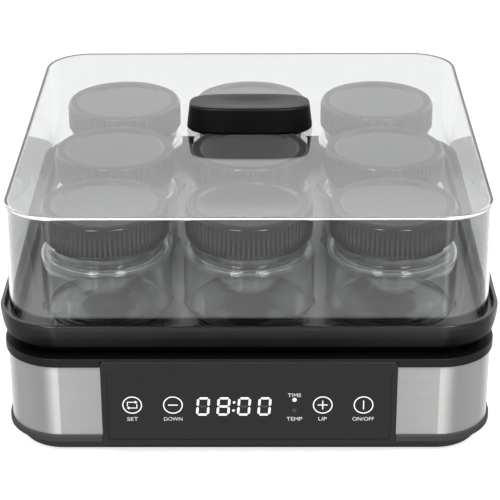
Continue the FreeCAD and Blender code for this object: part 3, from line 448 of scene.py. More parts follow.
def cap_painted_light_ior(panel):
    """IOR of a cap: high on ribs and edges, for painted highlights; low on the sunk panel and lowest on the
    ring, for painted shade on the top.
    """
    ribs, sunk, ring = 1.6, 1.3, 1.14
    edge, level = 0.85, 0.98
    blur = 0.5 * MM

    def ior(tree):
        place = add(tree, "TexCoord").outputs["Object"]
        flat = add(tree, "VectorMath", (place, (1.0, 1.0, 0.0)), operation="MULTIPLY")
        radius = add(tree, "VectorMath", (flat,), operation="LENGTH")
        top = add(tree, "MapRange", (radius, panel - blur, panel + blur, sunk, ring))
        return add(tree, "MapRange", (facing_up(tree), edge, level, ribs, top))
    return ior


def tray_painted_shade_ior(hem):
    """IOR of the tray: high on its rim; 1, with no reflection, underneath and below the hem, as painted
    shade.
    """
    polished, no_reflection_in_shade = 1.6, 1.0
    underneath, wall = -0.4, -0.15
    below = 0.7
    blur = 0.2 * MM

    def ior(tree):
        place = add(tree, "TexCoord").outputs["Object"]
        height = add(tree, "SeparateXYZ", (place,)).outputs["Z"]
        under = add(tree, "MapRange", (height, hem - blur, hem, below, 0.0))
        facing = add(tree, "Math", (facing_up(tree), under), operation="SUBTRACT")
        return add(tree, "MapRange", (facing, underneath, wall, no_reflection_in_shade, polished))
    return ior


def clear(name, tint, ior, wave, depth):
    """See-through solid that bends the view, but lets lamplight and matt bounces pass straight.

    The waves in its wall have a length and depth in millimetres.
    """
    material, tree = blank(name)
    place = add(tree, "TexCoord").outputs["Object"]
    slow = add(tree, "TexNoise", {"Vector": place, "Scale": 1 / (wave * MM), "Detail": 1.0})
    bump = add(tree, "Bump", {"Height": slow, "Strength": 1.0, "Distance": depth * MM})
    glass = add(tree, "BsdfPrincipled", {
        "Base Color": tint, "Roughness": 0.0, "IOR": ior, "Transmission Weight": 1.0, "Normal": bump})
    path = add(tree, "LightPath").outputs
    unsharp = add(tree, "Math", (1.0, path["Is Singular Ray"]), operation="SUBTRACT")
    soft_gloss = add(tree, "Math", (path["Is Glossy Ray"], unsharp), operation="MULTIPLY")
    matt = add(tree, "Math", (path["Is Diffuse Ray"], soft_gloss), operation="MAXIMUM")
    passing = add(tree, "Math", (path["Is Shadow Ray"], matt), operation="MAXIMUM")
    one_wall = [math.sqrt(channel) for channel in tint[:3]] + [1.0]
    through = add(tree, "BsdfTransparent", (one_wall,))
    skin = add(tree, "MixShader", (passing, glass, through))
    add(tree, "OutputMaterial", {"Surface": skin})
    return material


def brushed_steel(looks):
    """Stainless sheet brushed along its length: fine level lines, and gloss drawn out across them."""
    material, tree = blank("brushed_stainless_steel")
    place = add(tree, "TexCoord").outputs["Object"]
    stretch = (1 / looks.streak_length, 1 / looks.streak_length, 1 / looks.streak)
    along = add(tree, "Mapping", {"Vector": place, "Scale": stretch})
    lines = add(tree, "TexNoise", {"Vector": along, "Scale": 1.0, "Detail": 4.0, "Roughness": 0.7})
    shade = add(tree, "Mix", (lines, scaled(looks.steel, 0.75), looks.steel[:]), data_type="RGBA")
    gloss = add(tree, "MapRange", (lines, 0.0, 1.0, 0.28, 0.44))
    bump = add(tree, "Bump", {"Height": lines, "Strength": 0.6, "Distance": 0.01 * MM})
    around = add(tree, "Tangent", direction_type="RADIAL", axis="Z")
    skin = add(tree, "BsdfPrincipled", {
        "Base Color": shade, "Metallic": 1.0, "Roughness": gloss, "Anisotropic": 0.95,
        "Anisotropic Rotation": 0.25, "Tangent": around, "Normal": bump})
    add(tree, "OutputMaterial", {"Surface": skin})
    return material


def glowing(name, tint, strength):
    """Lit window: a milky diffuser with lamplight behind it, a little uneven from edge to edge."""
    material, tree = blank(name)
    place = add(tree, "TexCoord").outputs["Object"]
    patch = 4 * MM
    slow = add(tree, "TexNoise", {"Vector": place, "Scale": 1 / patch, "Detail": 1.0})
    light = add(tree, "MapRange", (slow, 0.0, 1.0, strength * 0.94, strength * 1.06))
    skin = add(tree, "BsdfPrincipled", {
        "Base Color": linear("#8a8a8a"), "Roughness": 0.4, "Emission Color": tint,
        "Emission Strength": light})
    add(tree, "OutputMaterial", {"Surface": skin})
    return material


# Pieces

class YOGURT_OT_lid(bpy.types.Operator):
    """Clear lid shell with its handle"""
    bl_idname = "yogurt.lid"
    bl_label = "Lid"

    def execute(self, context):
        sizes = context.scene.yogurt_lid
        # SAN, injection moulded in a polished tool: clear and glossy, faintly wavy where it cooled
        san = clear("moulded_clear_san", sizes.tint[:], ior=1.57, wave=45, depth=0.001)
        shell = mesh_of("clear_lid", lid_shell(sizes))
        add_piece("clear_lid", shell, san, "lid", "clear_plastic", ["lid_shell"])
        # ABS, moulded with a fine satin grain: near black, with soft broad highlights
        # Its top mirrors more than its walls through a higher IOR: painted sheen
        satin = grained("moulded_satin_abs", sizes.handle[:], roughness=0.36, grain=0.7, depth=0.004,
                        ior=painted_sheen_and_shade_ior(side=1.24, top=1.36))
        grip = mesh_of("satin_grip", satin_grip(sizes))
        add_piece("satin_grip", grip, satin, "lid", "handle_plastic", ["lid_handle"])
        return {"FINISHED"}


def lid_shell(sizes):
    """Shell of the lid: a section swept round the rounded square, closed by a flat top with two holes."""
    low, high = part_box("lid_shell")
    foot_out = high.x - sizes.corner
    top_out = foot_out - sizes.draw
    plate = top_out / 2
    ceiling = high.z - sizes.wall
    section = rounded([
        (plate, ceiling),
        (top_out - sizes.wall, ceiling, sizes.inner_edge),
        (foot_out - sizes.wall, low.z, sizes.lip),
        (foot_out, low.z, sizes.lip),
        (top_out, high.z, sizes.edge),
        (plate, high.z),
    ])
    rows = [rounded_square(sizes.corner, spot.x, spot.y) for spot in eased(section, sizes.lip)]
    plates = [lid_plate(sizes, rows[0]), lid_plate(sizes, rows[-1])]
    levels = (ceiling, high.z)
    holes = [swept([hole_points(sizes, side, level) for level in levels]) for side in (-1, 1)]
    return joined([swept(rows)] + plates + holes)


def hole_points(sizes, side, level):
    """Edge of one screw hole at a level."""
    outline = circle(side * sizes.screw_spacing / 2, 0.0, sizes.screw_hole, 24)
    return [Vector((x, y, level)) for x, y in outline]


def lid_plate(sizes, edge):
    """Flat top or ceiling inside an outline, with the two screw holes left open."""
    shape = bmesh.new()
    edges = []
    for loop in [edge] + [hole_points(sizes, side, edge[0].z) for side in (-1, 1)]:
        corners = [shape.verts.new(spot) for spot in loop]
        edges += [shape.edges.new((corners[step - 1], corners[step])) for step in range(len(corners))]
    bmesh.ops.triangle_fill(shape, edges=edges, use_beauty=True, normal=(0.0, 0.0, 1.0))
    shape.verts.index_update()
    points = [vert.co.copy() for vert in shape.verts]
    faces = [[vert.index for vert in face.verts] for face in shape.faces]
    shape.free()
    return points, faces


def satin_grip(sizes):
    """Grip with sloping sides on a drawn-in foot, with a smooth hollow on top."""
    low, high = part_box("lid_handle")
    half_length = (high.x - low.x) / 2
    half_depth = (sizes.grip_front + sizes.grip_back) / 2
    middle = (sizes.grip_back - sizes.grip_front) / 2
    foot_top = low.z + sizes.grip_foot
    flat = -sizes.grip_taper - 1.5 * sizes.grip_edge
    section = rounded([
        (-sizes.grip_inset, low.z),
        (-sizes.grip_inset, foot_top),
        (0.0, foot_top, sizes.grip_edge / 4),
        (-sizes.grip_taper, high.z, sizes.grip_edge),
        (flat, high.z),
    ], 8)
    levels = [(half_length + spot.x, half_depth + spot.x, spot.y)
              for spot in eased(section, sizes.grip_edge / 8)]
    dish_steps = 16
    for step in range(1, dish_steps):
        share = 1 - step / dish_steps
        dip = sizes.grip_dish * (1 - share ** 2) ** 2
        levels.append(((half_length + flat) * share, (half_depth + flat) * share, high.z - dip))
    power = 2 / sizes.grip_square
    outline = [(math.copysign(abs(x) ** power, x), math.copysign(abs(y) ** power, y))
               for x, y in circle(0.0, 0.0, 1.0, 128)]
    rows = [[(x * reach_x, y * reach_y + middle, level) for x, y in outline]
            for reach_x, reach_y, level in levels]
    points, faces = swept(rows)
    numbers = list(range(len(points)))
    return points, faces + [numbers[:len(outline)], numbers[-len(outline):]]


class YOGURT_OT_jars(bpy.types.Operator):
    """Nine glass jars with a screw thread on the neck"""
    bl_idname = "yogurt.jars"
    bl_label = "Jars"

    def execute(self, context):
        sizes = context.scene.yogurt_jar
        # Soda glass, blown and fire polished: clear, with a slow ripple in the wall
        glass = clear("blown_jar_glass", sizes.tint[:], ior=1.52, wave=22, depth=0.008)
        mesh = mesh_of("glass_jar", glass_jar(sizes))
        add_nine("glass_jar", "jar", mesh, glass, "jar_glass")
        return {"FINISHED"}


def thread_relief(jar, start, end, wall):
    """Height of a right-hand thread's ridge on the rows that lie at a wall's radius."""
    height, width, pitch = jar.thread, jar.thread_width, jar.pitch
    run_out = pitch / 4
    reach = end - start - 2 * width - pitch

    def relief(angle, spot):
        if abs(spot.x - wall) > ON_WALL or not start <= spot.y <= end:
            return 0.0
        level = start + width + pitch * angle / (2 * math.pi)
        ridge = 0.0
        for turns in range(math.ceil(reach / pitch) + 1):
            rise = level + turns * pitch
            offset = abs(spot.y - rise) / width
            from_end = min(rise - start - width, end - width - rise)
            fade = min(1.0, max(0.0, from_end / run_out))
            ridge = max(ridge, fade * max(0.0, 1 - (2 * offset) ** 2))
        return height * ridge
    return relief


def glass_jar(sizes):
    """Jar with a pushed-up foot, round shoulder, transfer bead and threaded neck."""
    low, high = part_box("jar_middle_centre")
    radius = (high.x - low.x) / 2
    neck_foot = high.z - sizes.neck_height
    shoulder = neck_foot - sizes.shoulder
    bead_foot = neck_foot + sizes.bead_level
    bead_top = bead_foot + sizes.bead_height
    bead_out = sizes.neck + sizes.bead
    ring_out = radius - sizes.foot_round
    inner = radius - sizes.wall
    neck_inner = sizes.neck - sizes.wall
    outside = rounded([
        (0.0, low.z + sizes.push_up),
        (ring_out - sizes.foot_ring, low.z + sizes.push_up, sizes.foot_ring),
        (ring_out - sizes.foot_ring / 2, low.z, sizes.foot_ring),
        (radius, low.z, sizes.foot_round),
        (radius, shoulder, sizes.shoulder_round),
        (sizes.neck, neck_foot, sizes.neck_round),
        (sizes.neck, bead_foot),
        (bead_out, bead_foot + sizes.bead_bevel, sizes.bead_round),
        (bead_out, bead_top - sizes.bead_bevel, sizes.bead_round),
        (sizes.neck, bead_top),
    ])
    mouth = rounded([
        (sizes.neck, bead_top),
        (sizes.neck, high.z, sizes.mouth_round),
        (neck_inner, high.z, sizes.mouth_round),
        (neck_inner, neck_foot - sizes.wall, sizes.shoulder_inner),
        (inner, shoulder - sizes.wall, sizes.shoulder_inner),
        (inner, low.z + sizes.floor, sizes.inner_foot),
        (0.0, low.z + sizes.floor),
    ])
    margin = 0.3 * MM
    row_height = 0.35 * MM
    last = high.z - sizes.mouth_round
    count = round((last - bead_top) / row_height)
    neck = [Vector((sizes.neck, bead_top + (last - bead_top) * step / count)) for step in range(1, count)]
    path = eased(outside, margin) + neck + eased(mouth[1:], margin)
    relief = thread_relief(sizes, neck_foot + sizes.thread_start, last - sizes.thread_width, sizes.neck)
    return lathe(path, 160, relief)


class YOGURT_OT_caps(bpy.types.Operator):
    """Nine ribbed screw caps with their liners"""
    bl_idname = "yogurt.caps"
    bl_label = "Caps and liners"

    def execute(self, context):
        sizes = context.scene.yogurt_cap
        # Polypropylene, moulded: dark and waxy, with a faint orange-peel skin and soft gloss
        # Its IOR paints highlights on the ribs and edges and shade on the top
        plastic = grained("moulded_polypropylene", sizes.tint[:], roughness=0.11, grain=1.2, depth=0.0003,
                          spread=0.03, ior=cap_painted_light_ior(panel_radius(sizes)))
        mesh = mesh_of("ribbed_cap", ribbed_cap(sizes, context.scene.yogurt_jar), crease=50.0)
        add_nine("ribbed_cap", "cap", mesh, plastic, "cap_plastic")
        # Foamed polyethylene, die cut: pale and matt, pitted by its cells
        foam = grained("die_cut_polyethylene_foam", sizes.liner[:], roughness=0.85, grain=0.8, depth=0.05)
        finish_nodes(foam, *["liner_" + place for place in PLACES])
        return {"FINISHED"}


def panel_radius(sizes):
    """Radius at which a cap's ring falls to its sunk panel."""
    low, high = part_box("cap_middle_centre")
    return (high.x - low.x) / 2 - sizes.rim


def ribbed_cap(sizes, jar):
    """Screw cap: raised ring round a sunk panel, ribbed skirt, and a thread inside."""
    low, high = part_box("cap_middle_centre")
    root = (high.x - low.x) / 2 - sizes.rib_depth
    inside = root - sizes.wall
    panel = panel_radius(sizes)
    deck = high.z - sizes.rise
    roof = deck - sizes.top
    rib_foot = low.z + sizes.rib_margin
    rib_top = high.z - sizes.edge - sizes.rib_margin
    rib_ends = sizes.rib_ends
    # Below 1, the ribs are broad and the grooves between them narrow
    rib_power = 0.45
    jar_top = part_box("jar_middle_centre")[1].z
    start = jar_top - jar.neck_height + jar.thread_start + jar.pitch / 2
    end = jar_top - jar.mouth_round - jar.thread_width + jar.pitch / 2
    thread = thread_relief(jar, start, end, inside)

    def relief(angle, spot):
        if abs(spot.x - root) < ON_WALL and rib_foot <= spot.y <= rib_top:
            fade = min(1.0, (spot.y - rib_foot) / rib_ends, (rib_top - spot.y) / rib_ends)
            wave = 0.5 - 0.5 * math.cos(angle * sizes.ribs)
            return sizes.rib_depth * fade * wave ** rib_power
        return -thread(angle, spot)

    row_height = 0.4 * MM
    margin = 0.2 * MM
    count = round((roof - low.z) / row_height)
    bore = [Vector((inside, roof + (low.z - roof) * step / count)) for step in range(count)]
    foot = rounded([
        (inside, roof),
        (inside, low.z, sizes.foot_edge),
        (root, low.z, sizes.foot_edge),
        (root, rib_foot),
    ], 3)
    levels = (rib_foot, rib_foot + rib_ends, (rib_foot + rib_top) / 2, rib_top - rib_ends)
    skirt = [Vector((root, level)) for level in levels]
    crown = rounded([
        (root, rib_foot),
        (root, high.z, sizes.edge),
        (panel, high.z, sizes.panel_round),
        (panel - sizes.slope, deck, sizes.panel_foot),
        (0.0, deck),
    ], 6)
    path = [Vector((0.0, roof))] + bore + foot[1:-1] + skirt + eased(crown[1:], margin)
    columns_per_rib = 8
    return lathe(path, sizes.ribs * columns_per_rib, relief)


class YOGURT_OT_base(bpy.types.Operator):
    """Tray, housing, plinth, steel band, gland and feet"""
    bl_idname = "yogurt.base"
    bl_label = "Base and tray"

    def execute(self, context):
        looks = context.scene.yogurt_base
        # ABS, moulded in a spark-eroded tool: black with a fine even texture and a low sheen
        # Its tops mirror less than its walls through a lower IOR: painted shade
        abs_black = grained("moulded_textured_abs", looks.black[:], roughness=0.4, grain=0.8, depth=0.003,
                            ior=painted_sheen_and_shade_ior(side=1.42, top=1.3))
        finish_nodes(abs_black, "base_housing", "cord_plate")
        # ABS, moulded in a finely blasted tool: black with an even sheen, brighter than the housing
        abs_fine = grained("moulded_blasted_abs", looks.black[:], roughness=0.4, grain=0.6, depth=0.002,
                           ior=1.53)
        finish_nodes(abs_fine, "panel_bezel")
        # ABS, moulded with a coarse matt texture: drawn dark grey, lighter than the black housing, as a
        # painted reflection of the bright table in front
        plinth_painted_reflection = grained("moulded_matt_abs_painted_reflection", looks.plinth[:], roughness=0.6, grain=1.1, depth=0.02,
                           ior=1.46)
        finish_nodes(plinth_painted_reflection, "bottom_cover")
        # ABS, moulded in a polished tool: black, it mirrors what is bright, but not underneath and below the
        # hem, where painted shade takes its reflection out
        abs_gloss = grained("moulded_glossy_abs", looks.black[:], roughness=0.24, grain=1.5, depth=0.0006,
                            ior=tray_painted_shade_ior(looks.hem))
        finish_nodes(abs_gloss, "jar_tray")
        # Stainless steel sheet, brushed along: pale, with level lines that draw its gloss out upward
        finish_nodes(brushed_steel(looks), "steel_band")
        # Rubber, pressed in a mould: dull black with a powdery grain
        rubber = grained("pressed_rubber", looks.rubber[:], roughness=0.8, grain=0.9, depth=0.02)
        finish_nodes(rubber, "rubber_feet", "cord_gland")
        return {"FINISHED"}


class YOGURT_OT_panel(bpy.types.Operator):
    """Touch film with its printed keys, words and lit digits"""
    bl_idname = "yogurt.panel"
    bl_label = "Control panel"

    def execute(self, context):
        sizes = context.scene.yogurt_panel
        # Polycarbonate film, printed on its back: dark grey, with a fine velvet grain in front
        film = grained("back_printed_polycarbonate", sizes.film[:], roughness=0.5, grain=0.7, depth=0.003,
                       mottle=0.02, ior=1.46)
        finish_nodes(film, "touch_film")
        # Ink, screen printed: pale grey and matt, with a slightly uneven edge
        ink = grained("screen_printed_ink", sizes.ink[:], roughness=0.7, grain=0.5, depth=0.004, mottle=0.05)
        # Milky windows in the print with lamps behind them: bright white, even
        lit = glowing("lit_display_window", sizes.glow[:], strength=1.0)
        # The same windows with no lamp on: a trace lighter than the film round them
        unlit = grained("unlit_display_window", sizes.unlit[:], roughness=0.5, grain=0.7, depth=0.003,
                        mottle=0.02)
        lit_digits, unlit_digits = display_segments(sizes)
        time_lamp, temperature_lamp = [
            (circle(sizes.shift + sizes.lamp, sizes.key_level + rise, sizes.lamp_radius),)
            for rise in (sizes.lamp_rise, -sizes.lamp_rise)]
        for name, outlines, finish, slot in (
                ("key_rings", key_rings(sizes), lit, "lamp_plastic"),
                ("key_signs", key_signs(sizes), lit, "lamp_plastic"),
                ("lit_digits", lit_digits, lit, "lamp_plastic"),
                ("unlit_segments", unlit_digits, unlit, "panel_film"),
                ("time_lamp", [time_lamp], lit, "lamp_plastic"),
                ("temperature_lamp", [temperature_lamp], unlit, "panel_film")):
            part = joined([slab(sizes, *outline) for outline in outlines])
            add_piece(name, mesh_of(name, part), finish, "base", slot)
        words = mesh_of("panel_words", panel_words(sizes))
        add_piece("panel_words", words, ink, "base", "panel_film")
        return {"FINISHED"}


def print_depths(sizes):
    """Front and back of the print, as Y."""
    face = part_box("touch_film")[0].y
    return face - sizes.proud, face + sizes.proud / 2


def slab(sizes, outer, inner=()):
    """Thin plate on the film inside an (across, up) outline, or a band if it has an inner outline too."""
    front, back = print_depths(sizes)
    loops = [(outer, front), (outer, back)]
    if inner:
        loops += [(inner, back), (inner, front), (outer, front)]
    points, faces = swept([[(x, depth, z) for x, z in outline] for outline, depth in loops])
    if not inner:
        count = len(outer)
        faces += [list(range(count)), list(range(count, 2 * count))]
    return points, faces


def stroke(start, end, width, steps=6):
    """Outline of a straight line with round ends."""
    way = (Vector(end) - Vector(start)).normalized()
    side = Vector((-way.y, way.x))
    outline = []
    for spot, sign in ((Vector(start), 1), (Vector(end), -1)):
        for step in range(steps + 1):
            angle = math.pi * step / steps
            reach = side * math.cos(angle) - way * math.sin(angle)
            outline.append(tuple(spot + reach * sign * width / 2))
    return (outline,)


def key_places(sizes):
    """Centres of the four keys across the film, from the left."""
    reaches = (-sizes.outer_key, -sizes.inner_key, sizes.inner_key, sizes.outer_key)
    return [sizes.shift + reach for reach in reaches]


def key_rings(sizes):
    """Outer and inner outline of the ring round each key."""
    radii = (sizes.key_ring, sizes.key_ring - sizes.line)
    return [[circle(x, sizes.key_level, radius) for radius in radii] for x in key_places(sizes)]


def key_signs(sizes):
    """Minus, plus, power bar and the two chasing arrows of the set key."""
    level = sizes.key_level
    arm = sizes.sign
    loop, minus, plus, power = key_places(sizes)
    signs = [stroke((x - arm, level), (x + arm, level), sizes.line) for x in (minus, plus)]
    signs += [stroke((x, level - arm), (x, level + arm), sizes.line) for x in (plus, power)]
    wide = 2.5 * MM
    tall = 1.75 * MM
    tip = 1.0 * MM
    barb = 0.9 * MM
    thin = sizes.line * 0.8
    for flip in (1, -1):
        def at(x, z):
            return loop + flip * x, level + flip * z
        signs.append(stroke(at(-wide, -tall / 3), at(-wide, tall), thin))
        signs.append(stroke(at(-wide, tall), at(wide - tip, tall), thin))
        head = [at(wide - tip, tall + barb), at(wide - tip, tall - barb), at(wide + tip / 3, tall)]
        signs.append((head,))
    return signs


def display_segments(sizes):
    """Lit and unlit segments of the four digits, and the colon between them."""
    lit = []
    unlit = []
    lean = math.tan(sizes.slant)
    half = sizes.segment / 2
    left, right = half, sizes.digit_width - half
    foot, top = half, sizes.digit_height - half
    middle = (foot + top) / 2
    runs = {
        "top": ((left, top), (right, top)),
        "middle": ((left, middle), (right, middle)),
        "bottom": ((left, foot), (right, foot)),
        "upper_left": ((left, middle), (left, top)),
        "upper_right": ((right, middle), (right, top)),
        "lower_left": ((left, foot), (left, middle)),
        "lower_right": ((right, foot), (right, middle)),
    }

    def leaned(place, outline):
        return ([(sizes.digit_left + place + x + z * lean, sizes.digit_level + z) for x, z in outline],)

    for digit, shown in enumerate("0800"):
        for name, (start, end) in runs.items():
            segment = segment_outline(start, end, half, sizes.segment_gap)
            group = unlit if name == "middle" and shown == "0" else lit
            group.append(leaned(digit * sizes.digit_pitch, segment))
    between = 2 * sizes.digit_pitch - (sizes.digit_pitch - sizes.digit_width) / 2
    for level in (middle - sizes.colon, middle + sizes.colon):
        lit.append(leaned(between, circle(0.0, level, sizes.dot, 24)))
    return lit, unlit


def segment_outline(start, end, half, gap):
    """Six-sided segment between two joints, with its tips drawn back by the gap."""
    way = (Vector(end) - Vector(start)).normalized()
    side = Vector((-way.y, way.x)) * half
    first = Vector(start) + way * gap
    last = Vector(end) - way * gap
    return [tuple(spot) for spot in (first, first + way * half - side, last - way * half - side,
                                     last, last - way * half + side, first + way * half + side)]


def panel_words(sizes):
    """Words by the keys and lamps, each with its width in millimetres."""
    loop, minus, plus, power = key_places(sizes)
    lamp = sizes.shift + sizes.lamp
    level = sizes.word_level
    words = (
        ("SET", 5.8, loop, level),
        ("DOWN", 9.7, minus, level),
        ("UP", 4.5, plus, level),
        ("ON/OFF", 11.4, power, level),
        ("TEMP", 8.3, lamp, level),
        ("TIME", 6.9, lamp, sizes.key_level + sizes.word_rise),
    )
    return joined([word(sizes, text, width * MM, x, z) for text, width, x, z in words])


def word(sizes, text, width, x, z):
    """One word in thin capitals, centred on a place on the film."""
    curve = bpy.data.curves.new(text, "FONT")
    curve.body = text
    # Any thickness does, because the print's own depths replace it
    curve.extrude = 0.05
    writing = bpy.data.objects.new(text, curve)
    mesh = bpy.data.meshes.new_from_object(writing)
    spots = [vert.co.copy() for vert in mesh.vertices]
    faces = [list(face.vertices) for face in mesh.polygons]
    bpy.data.objects.remove(writing)
    bpy.data.curves.remove(curve)
    bpy.data.meshes.remove(mesh)
    low = Vector([min(spot[axis] for spot in spots) for axis in range(3)])
    high = Vector([max(spot[axis] for spot in spots) for axis in range(3)])
    middle = (low + high) / 2
    wide = width / (high.x - low.x)
    tall = sizes.word_height / (high.y - low.y)
    front, back = print_depths(sizes)
    points = []
    for spot in spots:
        offset = spot - middle
        points.append((x + offset.x * wide, back if offset.z < 0 else front, z + offset.y * tall))
    return points, faces


class YOGURT_OT_inside(bpy.types.Operator):
    """Finishes of the heater, boards, wiring and screws"""
    bl_idname = "yogurt.inside"
    bl_label = "Inside"

    def execute(self, context):
        for name, code, roughness, metallic, grain, depth, nodes in INSIDE_FINISHES:
            finish_nodes(grained(name, linear(code), roughness, grain, depth, metallic), *nodes)
        return {"FINISHED"}


# Finish, colour, roughness, metallic, grain and its depth in millimetres, and the nodes that have it
INSIDE_FINISHES = (
    # Rolled aluminium sheet: pale, softly mirroring
    ("rolled_aluminium", "#c8cacc", 0.35, 1.0, 1.5, 0.01, ["heater_plate"]),
    # Silicone rubber pressed on cloth: brick red, matt, with the weave showing
    ("pressed_silicone_rubber", "#8e3b2c", 0.6, 0.0, 1.0, 0.05, ["heater_mat"]),
    # Needled glass fibre: off-white and woolly
    ("needled_glass_fibre", "#d8d2c2", 0.95, 0.0, 1.2, 0.3, ["insulation_pad"]),
    # Galvanised steel sheet: grey with a broad spangle
    ("galvanised_steel", "#a9abab", 0.4, 1.0, 8.0, 0.01, ["heater_retainer"]),
    # Drawn brass can, nickel plated: warm grey metal
    ("nickel_plated_brass", "#b7b1a6", 0.3, 1.0, 0.6, 0.005, ["temperature_sensor", "thermal_fuse"]),
    # Glass-epoxy board under green solder mask: glossy, with the cloth weave showing through
    ("solder_masked_board", "#1d4a2c", 0.35, 0.0, 0.9, 0.01, ["control_board", "power_board"]),
    # Black glass-filled nylon: dull, with a fibrous grain
    ("glass_filled_nylon", "#222326", 0.55, 0.0, 0.7, 0.01, ["display_module"]),
    # Carbon-filled foam: charcoal and open-celled
    ("carbon_filled_foam", "#2b2b2d", 0.95, 0.0, 0.6, 0.15, ["touch_pads"]),
    # Cast epoxy lamp body: milky and smooth
    ("cast_epoxy", "#d9dcdf", 0.2, 0.0, 2.0, 0.002, ["indicator_lamps"]),
    # Moulded polyamide: bright green, satin
    ("moulded_polyamide", "#2f7d4f", 0.45, 0.0, 0.6, 0.006, ["terminal_block"]),
    # Varnished coil and core: dark amber brown
    ("varnished_windings", "#5b3420", 0.4, 0.2, 0.5, 0.05, ["power_transformer"]),
    # Moulded PBT relay case: blue-grey, satin
    ("moulded_relay_case", "#24364f", 0.4, 0.0, 0.6, 0.006, ["heater_relay"]),
    # Shrink-sleeved capacitor can: dark violet film, glossy
    ("shrink_sleeve", "#25223a", 0.3, 0.0, 1.0, 0.01, ["filter_capacitor"]),
    # Silicone-sheathed wire: red and rubbery
    ("silicone_sheath", "#a32620", 0.5, 0.0, 0.8, 0.01, ["heater_leads"]),
    # Vinyl ribbon cable: pale grey
    ("extruded_vinyl", "#b9bbbd", 0.45, 0.0, 1.2, 0.03, ["panel_ribbon"]),
    # Zinc-plated steel screws: bluish grey, bright
    ("zinc_plated_steel", "#b9bcc0", 0.3, 1.0, 0.5, 0.004,
     ["base_screws", "tray_screws", "retainer_screws", "board_screws"]),
    # Stainless screws: bright and slightly warm
    ("stainless_screw_steel", "#c6c4c0", 0.25, 1.0, 0.5, 0.004, ["handle_screws"]),
)


class YOGURT_OT_stage(bpy.types.Operator):
    """Floor, room, softboxes and camera"""
    bl_idname = "yogurt.stage"
    bl_label = "Stage"

    def execute(self, context):
        scene = context.scene
        sizes = scene.yogurt_stage
        scene.view_settings.view_transform = "Standard"
        scene.cycles.max_bounces = 24
        scene.cycles.transmission_bounces = 24
        scene.cycles.glossy_bounces = 8
        scene.cycles.transparent_max_bounces = 48
        make_floor(scene, sizes)
        make_room(scene, sizes)
        for side in (-1, 1):
            make_softbox(scene, sizes, side)
        make_camera(scene, sizes)
        return {"FINISHED"}


def make_floor(scene, sizes):
    """Sheet of white paper under the object; the camera sees it lit up to white, but for the shadow."""
    wide, near, far = 1.3, -0.25, 1.5
    corners = [(-wide, near, 0.0), (wide, near, 0.0), (wide, far, 0.0), (-wide, far, 0.0)]
    mesh = bpy.data.meshes.new("floor")
    mesh.from_pydata(corners, [], [(0, 1, 2, 3)])
    floor = bpy.data.objects.new("floor", mesh)
    scene.collection.objects.link(floor)
    floor.visible_glossy = False
    # Paper, uncoated and matt: white, without a gleam
    material, tree = blank("matt_white_paper")
    paper = add(tree, "BsdfDiffuse", (sizes.floor[:],))
    path = add(tree, "LightPath").outputs
    direct = add(tree, "Math", (path["Is Camera Ray"], sizes.lift), operation="MULTIPLY")
    through = add(tree, "Math", (path["Is Transmission Ray"], sizes.lift_through), operation="MULTIPLY")
    lift = add(tree, "Math", (direct, through), operation="ADD")
    glow = add(tree, "Emission", (linear("#ffffff"), lift))
    both = add(tree, "AddShader", (paper, glow))
    add(tree, "OutputMaterial", {"Surface": both})
    mesh.materials.append(material)


# Where the mirrored room changes, from and to, as the sine of the angle above the horizon
UNDERFOOT = (-0.88, -0.7)
NEAR_TABLE = (-0.75, -0.52)
HORIZON = (-0.15, 0.1)
SIDE_TABLE = (-0.6, 0.0)
BACK_TABLE = (-0.6, -0.4)
HIGH_WALL = (0.385, 0.41)
STRIP_TOP = (0.5, 0.8)
CEILING = (0.7, 0.85)
# Level of the table's bright edge in front, and how far from it the glare fades
TABLE_EDGE = -0.47
EDGE_FADE = (0.03, 0.055)
# Where front turns to side and side to back, as the share of a direction that leads to the back
FRONT_TO_SIDE = (-0.75, -0.2)
SIDE_TO_BACK = (0.3, 0.7)
# How far from a strip's middle it fades
STRIP_FADE = (math.radians(2), math.radians(6))


